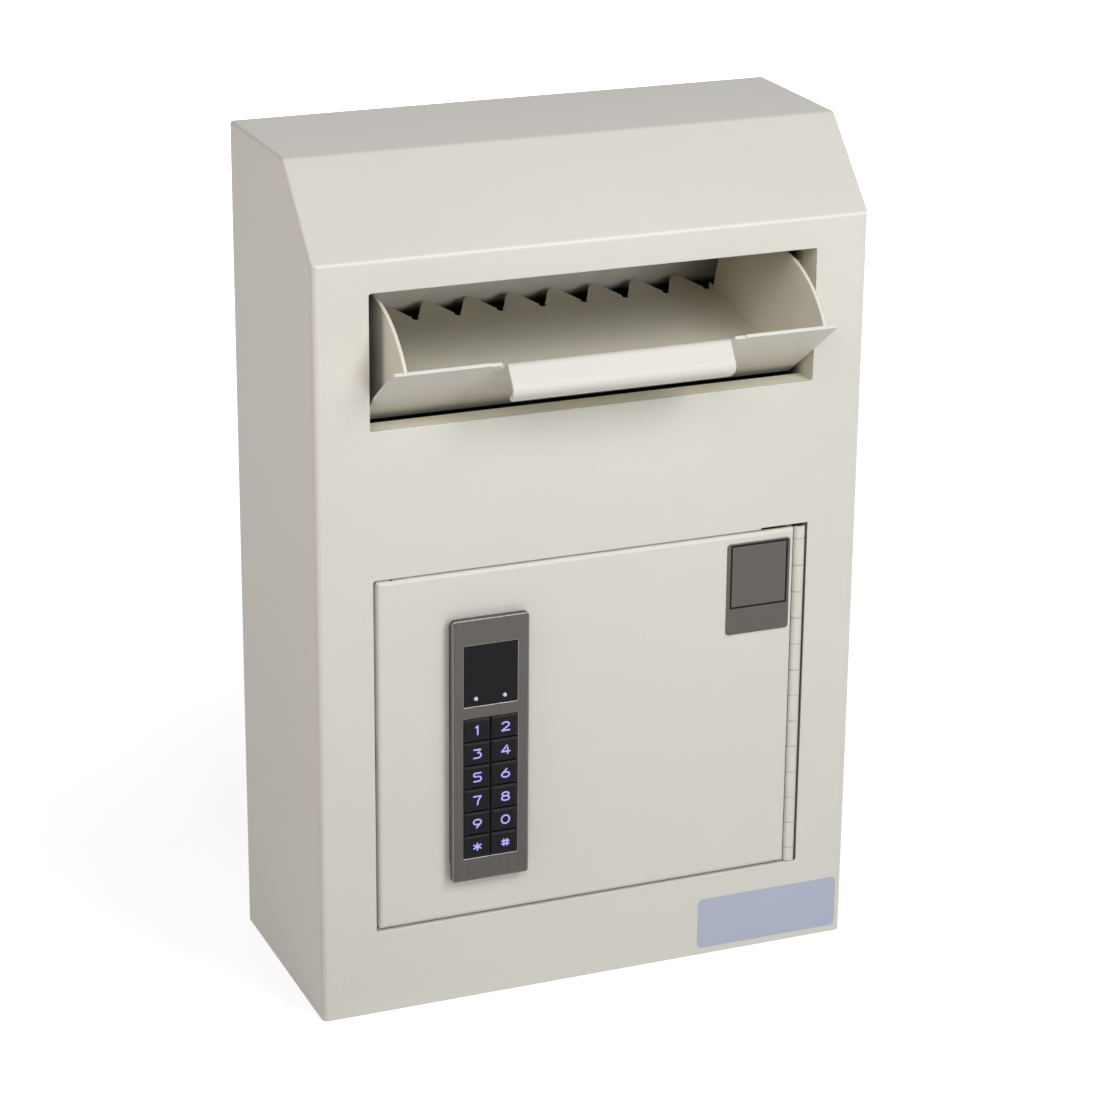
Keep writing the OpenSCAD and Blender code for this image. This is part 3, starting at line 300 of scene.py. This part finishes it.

# %% [markdown]
# ## Painted light and shade inside the body
# The body is sprayed with ivory powder, and colours laid over it paint light and shade inside.
# The outside keeps the plain ivory, and so do, through the hopper's opening, the front of the
# right cheek and a band of the back sheet. The rest of the inside gets a dark colour, painted
# shade for the little light that gets in, and the band gets a lighter colour, painted light where
# light through the opening falls. One node group works this out from Object coordinates, by
# comparing x, y and z with the sizes of the sheets, and hands out four masks: one for the painted
# shade, one for the painted light on the back sheet, one for a painted highlight along the front
# fold, and Keep, which is 0 along the welded seams. These are ground flush, so the edges of their
# sheets mustn't look rounded.

# %% Helpers for masks
zones, _, end = new_group(
    "body_zones", [], [("Shade", "Float"), ("Wall", "Float"), ("Fold", "Float"), ("Keep", "Float")])
place = add(zones, "TexCoord")
axes = add(zones, "SeparateXYZ")
zones.links.new(place.outputs["Object"], axes.inputs["Vector"])


def zone_math(operation, first, second=None):
    """One Math node in the zones group; an input is a number or another node's output."""
    node = add(zones, "Math", operation=operation)
    for socket, value in zip(node.inputs, (first, second)):
        if isinstance(value, (int, float)):
            socket.default_value = value
        elif value is not None:
            zones.links.new(value, socket)
    return node.outputs[0]


def ramp(value, start_at, stop_at):
    """Runs from 0 to 1 between two places; it runs down where the first is the larger."""
    node = add(zones, "MapRange", {"From Min": start_at, "From Max": stop_at},
               interpolation_type="SMOOTHSTEP")
    zones.links.new(value, node.inputs["Value"])
    return node.outputs["Result"]


def product(*factors):
    """Multiplies masks, and a number among them makes the result weaker."""
    total = factors[0]
    for factor in factors[1:]:
        total = zone_math("MULTIPLY", total, factor)
    return total


def distance_to(value, level):
    """How far a value is from a level, on either side of it."""
    return zone_math("ABSOLUTE", zone_math("SUBTRACT", value, level))


# %% Painted shade on the inside, less the mouth and the lit band of the back sheet
# Each pair is where a mask begins and where it is full. A sheet that slopes at 45 degrees is 1.41
# times as thick from front to back, and SLOPE_SHEET is a skin less than that.
SLOPE_HEIGHT = 0.037
SLOPE_SHEET = 1.35
SKIN = 0.0002
MOUTH_SIDE = (0.125, 0.112)
MOUTH_LEFT = (-0.100, -0.095)
MOUTH_Z = (0.262, 0.270)
MOUTH_Y = (-0.030, -0.044)
WALL_Z = (0.2885, 0.2925)
WALL_Y = (0.040, 0.050)
front_low, front_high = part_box("front_wrap")
inner_low, inner_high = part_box("back_panel")
sheet = front_high.x - inner_high.x
fold_z = front_high.z - SLOPE_HEIGHT
x_axis, y_axis, z_axis = (axes.outputs[i] for i in range(3))
side = zone_math("ABSOLUTE", x_axis)
behind_front = zone_math("SUBTRACT", y_axis, front_low.y)
above_fold = zone_math("SUBTRACT", z_axis, fold_z)
slope_depth = zone_math("SUBTRACT", behind_front, above_fold)
# Inside the body, all but the mouth and the band of the back sheet get painted shade; the band gets
# painted light.
within = product(
    zone_math("LESS_THAN", side, inner_high.x + SKIN),
    zone_math("GREATER_THAN", behind_front, sheet - SKIN),
    zone_math("LESS_THAN", y_axis, inner_low.y + SKIN),
    zone_math("GREATER_THAN", z_axis, sheet - SKIN),
    zone_math("LESS_THAN", z_axis, inner_high.z + SKIN),
    zone_math("GREATER_THAN", slope_depth, sheet * SLOPE_SHEET))
mouth = product(ramp(x_axis, *MOUTH_SIDE), ramp(x_axis, *MOUTH_LEFT), ramp(z_axis, *MOUTH_Z),
                ramp(y_axis, *MOUTH_Y))
wall = product(ramp(side, *MOUTH_SIDE), ramp(z_axis, *WALL_Z), ramp(y_axis, *WALL_Y))
unshaded = zone_math("MAXIMUM", mouth, wall)
zones.links.new(product(within, wall), end.inputs["Wall"])
print("sheet", round(sheet * 1000, 2), "mm; fold at", round(fold_z * 1000, 1), "mm")

# %% Painted shade on the cut edge beside the hinge, in the narrow gap
GAP_X = (0.1018, 0.1032)
GAP_TOP = 0.21
GAP_DEPTH = (0.0004, 0.004)
GAP_SHARE = 0.7
hinge_gap_shade = product(
    zone_math("GREATER_THAN", x_axis, GAP_X[0]), zone_math("LESS_THAN", x_axis, GAP_X[1]),
    zone_math("LESS_THAN", z_axis, GAP_TOP),
    zone_math("GREATER_THAN", behind_front, GAP_DEPTH[0]),
    zone_math("LESS_THAN", behind_front, GAP_DEPTH[1]), GAP_SHARE)
# The dark colour inside and on the hinge's cut edge is painted shade.
painted_shade = zone_math("MAXIMUM", product(within, zone_math("SUBTRACT", 1.0, unshaded)), hinge_gap_shade)
zones.links.new(painted_shade, end.inputs["Shade"])

# %% A painted highlight on the front fold, and the seams
# A HALF is half a line's width, from where the line fades out to where it is full, and a DEPTH
# is how far back from the front it reaches, in the same way.
FOLD_LEVEL = -0.0001
FOLD_HALF = (0.0006, 0.0002)
FOLD_DEPTH = (0.0012, 0.0008)
FOLD_SHARE = 0.55
SEAM_DROP = 0.004
SEAM_HALF = (0.0018, 0.0012)
SEAM_DEPTH = (0.002, 0.001)
SIDE_SEAM_HALF = (0.0013, 0.0010)
# A painted highlight: a lighter line along the front fold.
fold = product(ramp(distance_to(above_fold, FOLD_LEVEL), *FOLD_HALF),
               ramp(behind_front, *FOLD_DEPTH), FOLD_SHARE)
zones.links.new(fold, end.inputs["Fold"])
seam_z = fold_z - SEAM_DROP
front_seam = product(ramp(distance_to(z_axis, seam_z), *SEAM_HALF),
                     ramp(behind_front, *SEAM_DEPTH))
side_seam = product(ramp(distance_to(side, inner_high.x), *SIDE_SEAM_HALF),
                    zone_math("GREATER_THAN", z_axis, seam_z))
seams = zone_math("MAXIMUM", front_seam, side_seam)
zones.links.new(zone_math("SUBTRACT", 1.0, seams), end.inputs["Keep"])
print("seam at", round(seam_z * 1000, 1), "mm;", len(zones.nodes), "nodes in the zones group")

# %% [markdown]
# ## Powder coat
# Baked powder flows into a satin skin with a fine orange peel. A principled shader with a satin
# roughness, a faint cloudiness in its colour and a shallow bump gives just that, and a lighter
# colour on the rounded edges is a painted highlight. Colours that lie over each other by a mask
# recur in every finish, and so does the way from a texture to bump and roughness, so both get
# helpers. The sheets inside the hopper have a slightly lighter and warmer coat, because little
# light gets in to them and they would come out too dark.

# %% Helpers for finishes
TONE_RANGE = (0.3, 0.7)


def tone_mix(tree, tone, low, high):
    """A colour that wanders between low and high with a tone."""
    steps = add(tree, "MapRange", {"From Min": TONE_RANGE[0], "From Max": TONE_RANGE[1]})
    mix = add(tree, "Mix", data_type="RGBA")
    mix.inputs[COLOUR_A].default_value = (*low, 1)
    mix.inputs[COLOUR_B].default_value = (*high, 1)
    tree.links.new(tone, steps.inputs["Value"])
    tree.links.new(steps.outputs["Result"], mix.inputs[FACTOR])
    return mix.outputs[COLOUR_OUT]


def lay_over(tree, below, mask, colour):
    """Lays a fixed colour over another one where the mask is 1."""
    mix = add(tree, "Mix", data_type="RGBA")
    mix.inputs[COLOUR_B].default_value = (*colour, 1)
    tree.links.new(mask, mix.inputs[FACTOR])
    tree.links.new(below, mix.inputs[COLOUR_A])
    return mix.outputs[COLOUR_OUT]


def texture_surface(tree, shader, texture, rim, depth, roughness, swing):
    """Gives the shader a texture's Height as bump, over soft edges, and its Tone as roughness."""
    bump = add(tree, "Bump", {"Strength": 1.0, "Distance": depth})
    tree.links.new(texture.outputs["Height"], bump.inputs["Height"])
    tree.links.new(rim.outputs["Normal"], bump.inputs["Normal"])
    tree.links.new(bump.outputs["Normal"], shader.inputs["Normal"])
    satin = add(tree, "MapRange", {"To Min": roughness - swing, "To Max": roughness + swing})
    tree.links.new(texture.outputs["Tone"], satin.inputs["Value"])
    tree.links.new(satin.outputs["Result"], shader.inputs["Roughness"])


# %% A painted or moulded finish
# After its three colours, a finish has its roughness, the relief's grains to the metre, the
# depth of the bump and the radius of the edges in metres, and its gloss.
# The lighter wall colour is painted light on the back sheet, and the dark colour after it is
# painted shade inside the body.
WALL_LIGHT = (0.98, 0.93, 0.76)
INSIDE_SHADE = (0.055, 0.052, 0.046)
COAT_SWING = 0.03
IVORY = ((0.81, 0.78, 0.65), (0.83, 0.80, 0.67), (0.97, 0.96, 0.90))
HOPPER_IVORY = ((0.90, 0.85, 0.67), (0.92, 0.87, 0.69), (0.98, 0.97, 0.90))
BAKED = (0.36, 850, 0.00005, 0.0006, 0.32)


def coated(name, low, high, edge_highlight, roughness, size, depth, radius, gloss=0.5, body=False):
    """A painted or moulded finish; the one for the body also uses the masks above."""
    material, tree, shader = new_material(name)
    shader.inputs["Specular IOR Level"].default_value = gloss
    relief = use_group(tree, peel, {"Size": size})
    rim = use_group(tree, edges, {"Radius": radius})
    colour = tone_mix(tree, relief.outputs["Tone"], low, high)
    if body:
        zone = use_group(tree, zones)
        tree.links.new(zone.outputs["Keep"], rim.inputs["Keep"])
        # The lighter colour on the rounded edges and the front fold is a painted highlight.
        painted_highlight = add(tree, "Math", operation="MAXIMUM")
        tree.links.new(rim.outputs["Edge"], painted_highlight.inputs[0])
        tree.links.new(zone.outputs["Fold"], painted_highlight.inputs[1])
        colour = lay_over(tree, colour, painted_highlight.outputs[0], edge_highlight)
        colour = lay_over(tree, colour, zone.outputs["Wall"], WALL_LIGHT)
        colour = lay_over(tree, colour, zone.outputs["Shade"], INSIDE_SHADE)
    else:
        # The lighter colour on the rounded edges is a painted highlight.
        colour = lay_over(tree, colour, rim.outputs["Edge"], edge_highlight)
    tree.links.new(colour, shader.inputs["Base Color"])
    texture_surface(tree, shader, relief, rim, depth, roughness, COAT_SWING)
    return material


powder_coat = coated("powder_coat", *IVORY, *BAKED)
body_coat = coated("body_coat", *IVORY, *BAKED, body=True)
hopper_coat = coated("hopper_coat", *HOPPER_IVORY, *BAKED)

# %% Dress the sheets
def dress(material, *names):
    """Puts a finish on CAD nodes, in every material slot they have."""
    for name in names:
        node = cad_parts[name]
        for slot in node.material_slots:
            slot.material = material
    print(material.name, "on", len(names), "nodes")


dress(body_coat, "front_wrap", "top_wrap", "bottom_plate", "back_panel", "cheek_left",
      "cheek_right", "hinge_frame_leaf", "hinge_door_leaf")
dress(powder_coat, "door_frame", "hopper_flap", "door_panel")
dress(hopper_coat, "hopper_floor", "hopper_side_left", "hopper_side_right", "drop_sill",
      "drop_head")

# %% [markdown]
# ## Metals
# The bezel is dark stainless steel, brushed along its length and polished on its chamfer. Pins,
# studs and screws are zinc plated, the bushes are dark oiled steel, the pinion is brass and the
# lock's case is a dull casting. All are metallic shaders; what tells them apart is their colour,
# their roughness and the grain in it. A lighter colour on their edges is a painted highlight, on
# the bezel partly the polish of its chamfer.

# %% Brushed and plated metals
# The stretch is how fine the grain is along x, y and z: scratches run along an axis with a small
# number, and three equal numbers give an even grain.
GRAIN_SWING = 0.08


def metal(name, low, high, edge_highlight, roughness, stretch, depth, radius):
    """A metal with a grain in its colour, its bump and its roughness."""
    material, tree, shader = new_material(name)
    shader.inputs["Metallic"].default_value = 1.0
    grain = use_group(tree, brushed, {"Stretch": stretch})
    rim = use_group(tree, edges, {"Radius": radius})
    tint = tone_mix(tree, grain.outputs["Tone"], low, high)
    # The lighter colour on the edges is a painted highlight, on the bezel partly the polish of its
    # chamfer.
    bright = lay_over(tree, tint, rim.outputs["Edge"], edge_highlight)
    tree.links.new(bright, shader.inputs["Base Color"])
    texture_surface(tree, shader, grain, rim, depth, roughness, GRAIN_SWING)
    return material


bezel_steel = metal("bezel_steel", (0.092, 0.084, 0.077), (0.108, 0.099, 0.091), (0.45, 0.43, 0.40),
                    0.34, (2600, 2600, 40), 0.000008, 0.0004)
zinc_steel = metal("zinc_steel", (0.50, 0.50, 0.50), (0.60, 0.60, 0.60), (0.75, 0.75, 0.75),
                   0.32, (400, 400, 400), 0.00001, 0.0003)
dark_steel = metal("dark_steel", (0.10, 0.12, 0.17), (0.14, 0.16, 0.22), (0.30, 0.32, 0.38),
                   0.38, (500, 500, 500), 0.00001, 0.0003)
pinion_brass = metal("pinion_brass", (0.62, 0.44, 0.18), (0.70, 0.51, 0.22), (0.86, 0.68, 0.36),
                     0.30, (60, 2000, 60), 0.00001, 0.0002)
cast_housing = metal("cast_housing", (0.34, 0.34, 0.34), (0.44, 0.44, 0.44), (0.60, 0.60, 0.60),
                     0.50, (700, 700, 700), 0.00005, 0.0005)
dress(bezel_steel, "keypad_bezel")
dress(zinc_steel, "strike_plate", "stop_studs", "pivot_pins", "hinge_pin", "keypad_screws",
      "lock_screws", "bolt_keeper", "latch_bolt", "pinion_shaft", "lock_motor")
dress(dark_steel, "pivot_bushes", "pivot_clips")
dress(pinion_brass, "drive_pinion")
dress(cast_housing, "lock_case", "lock_cover")

# %% [markdown]
# ## Plastics, rubber and the boards
# The housing and the battery box are black moulded plastic with a fine spark texture, the keys
# are charcoal, the window is smooth and almost black, and the lamps are small white domes.
# The painted finish above suits them all, with a darker colour and its own relief.

# %% Plastics
KEYS = ["key_" + sign for sign in (*"1234567890", "star", "hash")]
black_plastic = coated("black_plastic", (0.020, 0.020, 0.021), (0.028, 0.028, 0.030),
                       (0.05, 0.05, 0.052), 0.48, 1400, 0.00003, 0.0004)
window_plastic = coated("window_plastic", (0.005, 0.005, 0.0065), (0.006, 0.006, 0.0075),
                        (0.02, 0.02, 0.02), 0.20, 300, 0.000002, 0.0003, 0.14)
key_plastic = coated("key_plastic", (0.006, 0.006, 0.007), (0.008, 0.008, 0.009),
                     (0.040, 0.040, 0.043), 0.42, 1800, 0.00001, 0.0003, 0.13)
lamp_plastic = coated("lamp_plastic", (0.78, 0.80, 0.82), (0.84, 0.86, 0.88),
                      (0.9, 0.9, 0.9), 0.15, 900, 0.000002, 0.0002)
mat_rubber = coated("mat_rubber", (0.05, 0.05, 0.05), (0.07, 0.07, 0.07),
                    (0.09, 0.09, 0.09), 0.7, 900, 0.00003, 0.0003)
cable_rubber = coated("cable_rubber", (0.015, 0.015, 0.015), (0.022, 0.022, 0.022),
                      (0.03, 0.03, 0.03), 0.55, 900, 0.00002, 0.0003)
circuit_board = coated("circuit_board", (0.010, 0.075, 0.030), (0.015, 0.100, 0.040),
                       (0.20, 0.17, 0.08), 0.35, 500, 0.00001, 0.0003)
battery_wrap = coated("battery_wrap", (0.035, 0.035, 0.038), (0.05, 0.05, 0.055),
                      (0.10, 0.10, 0.10), 0.30, 300, 0.00001, 0.0003)
dress(black_plastic, "keypad_housing", "battery_box", "battery_cover")
dress(window_plastic, "display_window")
dress(key_plastic, *KEYS)
dress(lamp_plastic, "status_lamps")
dress(mat_rubber, "key_mat")
dress(cable_rubber, "keypad_lead", "battery_lead")
dress(circuit_board, "keypad_board", "lock_board")
dress(battery_wrap, "batteries")

# %% [markdown]
# ## Badge and label
# A metal badge sits on the door's upper corner and a foil label low on the front. Both are
# bare here. Each is a thin rounded plate: a flat outline with rounded corners, given its
# thickness by an extrusion, with a small bevel round its face. The badge has a dark frame line:
# four flat strips between an outer and an inner rectangle, a hair in front of it.

# %% Helpers for flat plates on a wall that faces the front
def corner_points(shape, low, high, face_y, inset=0.0):
    """Four points round the rectangle between two corners (x, z), drawn in by an inset."""
    left, bottom = low[0] + inset, low[1] + inset
    right, top = high[0] - inset, high[1] - inset
    return [shape.verts.new((x, face_y, z))
            for x, z in ((left, bottom), (right, bottom), (right, top), (left, top))]


def thicken(shape, thickness):
    """Extrudes all faces towards the front, and returns the points that moved."""
    raised = bmesh.ops.extrude_face_region(shape, geom=shape.faces[:])["geom"]
    front = [v for v in raised if isinstance(v, bmesh.types.BMVert)]
    bmesh.ops.translate(shape, verts=front, vec=(0, -thickness, 0))
    return front


def rounded_plate(name, low, high, face_y, thickness, radius, edge):
    """A plate that stands out from face_y, with round corners and a bevelled face."""
    def build(shape):
        corners = corner_points(shape, low, high, face_y)
        shape.faces.new(corners)
        bmesh.ops.bevel(shape, geom=corners, affect="VERTICES", offset=radius, segments=8,
                        profile=0.5, material=-1)
        front = thicken(shape, thickness)
        rim = [e for e in shape.edges if all(v in front for v in e.verts)]
        bmesh.ops.bevel(shape, geom=rim, affect="EDGES", offset=edge, segments=2,
                        profile=0.5, material=-1)
    return new_object(name, build)


def frame_line(name, low, high, face_y, width, thickness):
    """A flat rectangular line of one width on face_y."""
    def build(shape):
        outer, inner = (corner_points(shape, low, high, face_y, inset) for inset in (0.0, width))
        for i in range(4):
            shape.faces.new((outer[i], outer[i - 3], inner[i - 3], inner[i]))
        thicken(shape, thickness)
    return new_object(name, build)


# %% The badge, its line and the label
BADGE = ((0.0636, 0.1569), (0.0941, 0.1999))
BADGE_THICKNESS = 0.0006
BADGE_CORNER, BADGE_EDGE = 0.0015, 0.0001
BADGE_LINE = ((0.0651, 0.1692), (0.0930, 0.1993))
LINE_WIDTH, LINE_THICKNESS = 0.0009, 0.00003
LABEL = ((0.0536, 0.0032), (0.1235, 0.0279))
LABEL_THICKNESS = 0.00015
LABEL_CORNER, LABEL_EDGE = 0.0025, 0.00004

door_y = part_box("door_panel")[0].y
badge = rounded_plate("badge_plate", *BADGE, door_y, BADGE_THICKNESS, BADGE_CORNER, BADGE_EDGE)
label = rounded_plate("front_label", *LABEL, front_low.y, LABEL_THICKNESS, LABEL_CORNER, LABEL_EDGE)
badge_line = frame_line("badge_line", *BADGE_LINE, door_y - BADGE_THICKNESS, LINE_WIDTH,
                        LINE_THICKNESS)
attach(badge, "door")
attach(badge_line, "door")
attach(label, "body")
print("badge stands", round((door_y - badge.bound_box[0][1]) * 1000, 2), "mm proud")

# %% Their finishes
badge_steel = metal("badge_steel", (0.094, 0.085, 0.076), (0.108, 0.098, 0.088), (0.22, 0.20, 0.18),
                    0.36, (60, 3600, 3600), 0.000004, 0.0002)
badge.data.materials.append(badge_steel)
badge_line.data.materials.append(window_plastic)
label_foil = coated("label_foil", (0.49, 0.53, 0.61), (0.52, 0.56, 0.64), (0.58, 0.61, 0.67),
                    0.30, 500, 0.000004, 0.0001)
label.data.materials.append(label_foil)

# %% [markdown]
# ## Signs on the keys
# The keys are moulded in clear plastic under a dark coat, and their signs are left open, so
# that the light behind them shows. A text object would give the digits of a font. These are
# wide and round, as if drawn with a round pen, so each sign is a few strokes: a curve with a
# round bevel, whose radius shrinks to nothing at its ends, made a mesh and pressed flat.

# %% The pen's path for each sign, in millimetres from the sign's middle
RING_POINTS = 24


def bow(x, z, across, up, start, stop, steps=12):
    """Points on an ellipse about (x, z) between two angles, which count from its right."""
    angles = [math.radians(start + (stop - start) * i / steps) for i in range(steps + 1)]
    return [(x + across * math.cos(a), z + up * math.sin(a)) for a in angles]


def ring(x, z, across, up):
    """A closed ellipse, whose first point isn't given twice."""
    return bow(x, z, across, up, 0, 360, RING_POINTS)[:-1]


SIGNS = {
    "key_1": [[(-0.75, 1.35), (0.15, 1.95)], [(0.15, 1.95), (0.15, -1.95)]],
    "key_2": [bow(-0.05, 0.85, 1.65, 1.1, 160, -35) + [(-1.75, -1.95)],
              [(-1.75, -1.95), (1.75, -1.95)]],
    "key_3": [[(-1.5, 1.95), (1.45, 1.95)],
              [(1.45, 1.95), (0.0, 0.5)] + bow(0.05, -0.72, 1.65, 1.23, 80, -90)
              + [(-1.65, -1.95)]],
    "key_4": [[(0.6, 1.95), (-1.8, -0.85)], [(-1.8, -0.85), (1.9, -0.85)],
              [(0.95, 0.95), (0.95, -1.95)]],
    "key_5": [[(1.6, 1.95), (-0.95, 1.95)] + bow(-0.95, 1.15, 0.75, 0.8, 90, 270) + [(0.6, 0.3)]
              + bow(0.6, -0.83, 1.15, 1.12, 90, -90) + [(-1.6, -1.95)]],
    "key_6": [ring(0, -0.75, 1.8, 1.2), [(-1.62, -0.25), (0.55, 1.95)]],
    "key_7": [[(-1.7, 1.95), (1.65, 1.95)], [(1.65, 1.95), (0.3, -0.3), (0.05, -1.95)]],
    "key_8": [ring(0, 1.02, 1.55, 0.93), ring(0, -0.9, 1.8, 1.05)],
    "key_9": [ring(0, 0.75, 1.8, 1.2), [(1.62, 0.25), (-0.35, -1.95)]],
    "key_0": [ring(0, 0, 1.85, 1.95)],
    "key_star": [[(0, 1.6), (0, -1.6)], [(-1.6, 0.85), (1.6, -0.85)], [(-1.6, -0.85), (1.6, 0.85)]],
    "key_hash": [[(-0.75, 1.45), (-0.75, -1.45)], [(0.75, 1.45), (0.75, -1.45)],
                 [(-1.6, 0.7), (1.6, 0.7)], [(-1.6, -0.7), (1.6, -0.7)]],
}
print(len(SIGNS), "signs of", sum(len(strokes) for strokes in SIGNS.values()), "strokes")

# %% One sign as a flattened bead
PEN = 0.41
CAP_ANGLES = (30, 60, 90)
SAME_POINT = 0.0005
SIGN_THICKNESS = 0.00003
RIGHT_COLUMN_SHIFT = 0.0004
MM = 0.001
UPRIGHT = Matrix.Rotation(math.pi / 2, 3, "X")


def draw_stroke(curve, points, closed):
    """Adds a stroke; an open one runs on past its ends in shrinking circles."""
    beads = [(Vector(p), 1.0) for p in points]
    if not closed:
        for tip, inner in ((0, 1), (-1, -2)):
            out = (Vector(points[tip]) - Vector(points[inner])).normalized()
            cap = [(Vector(points[tip]) + out * PEN * math.sin(angle), math.cos(angle))
                   for angle in map(math.radians, CAP_ANGLES)]
            beads = cap[::-1] + beads if tip == 0 else beads + cap
    line = curve.splines.new("POLY")
    line.points.add(len(beads) - 1)
    line.use_cyclic_u = closed
    for point, (at, size) in zip(line.points, beads):
        point.co = (at.x, at.y, 0, 1)
        point.radius = size


def make_sign(key, right):
    """Draws a key's sign flat, makes it a mesh and stands it on the key's face."""
    curve = bpy.data.curves.new("pen", "CURVE")
    curve.dimensions = "3D"
    curve.bevel_depth = PEN
    curve.bevel_resolution = 2
    for points in SIGNS[key]:
        draw_stroke(curve, points, len(points) == RING_POINTS)
    pen = bpy.data.objects.new("pen", curve)
    mesh = bpy.data.meshes.new_from_object(pen)
    low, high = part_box(key)

    def build(shape):
        shape.from_mesh(mesh)
        bmesh.ops.remove_doubles(shape, verts=shape.verts, dist=SAME_POINT)
        lit = shape.verts.layers.float.new("lit")
        for vert in shape.verts:
            vert[lit] = max(0.0, vert.co.z / PEN)
        bmesh.ops.scale(shape, verts=shape.verts, vec=(MM, MM, SIGN_THICKNESS / PEN))
        bmesh.ops.rotate(shape, verts=shape.verts, cent=(0, 0, 0), matrix=UPRIGHT)
        bmesh.ops.translate(shape, verts=shape.verts,
                            vec=((low.x + high.x) / 2 + right, low.y, (low.z + high.z) / 2))
    sign = new_object(key.replace("key", "sign"), build)
    bpy.data.objects.remove(pen)
    for face in sign.data.polygons:
        face.use_smooth = True
    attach(sign, key + "_body")
    return sign


signs = [make_sign(key, RIGHT_COLUMN_SHIFT * (number % 2)) for number, key in enumerate(SIGNS)]
print("faces in the signs", sum(len(sign.data.polygons) for sign in signs))

# %% Light through the signs: lilac in the middle of a stroke, violet at its sides
VIOLET = (0.09, 0.075, 0.38, 1)
LILAC = (0.46, 0.42, 0.93, 1)
UNLIT = (0.05, 0.05, 0.10, 1)

sign_light, tree, shader = new_material("sign_light")
middle = add(tree, "Attribute", attribute_name="lit")
spread = add(tree, "ValToRGB")
spread.color_ramp.elements[0].color = VIOLET
spread.color_ramp.elements[1].color = LILAC
tree.links.new(middle.outputs["Fac"], spread.inputs["Fac"])
tree.links.new(spread.outputs["Color"], shader.inputs["Emission Color"])
shader.inputs["Emission Strength"].default_value = 1.0
shader.inputs["Base Color"].default_value = UNLIT
shader.inputs["Roughness"].default_value = 0.4
for sign in signs:
    sign.data.materials.append(sign_light)
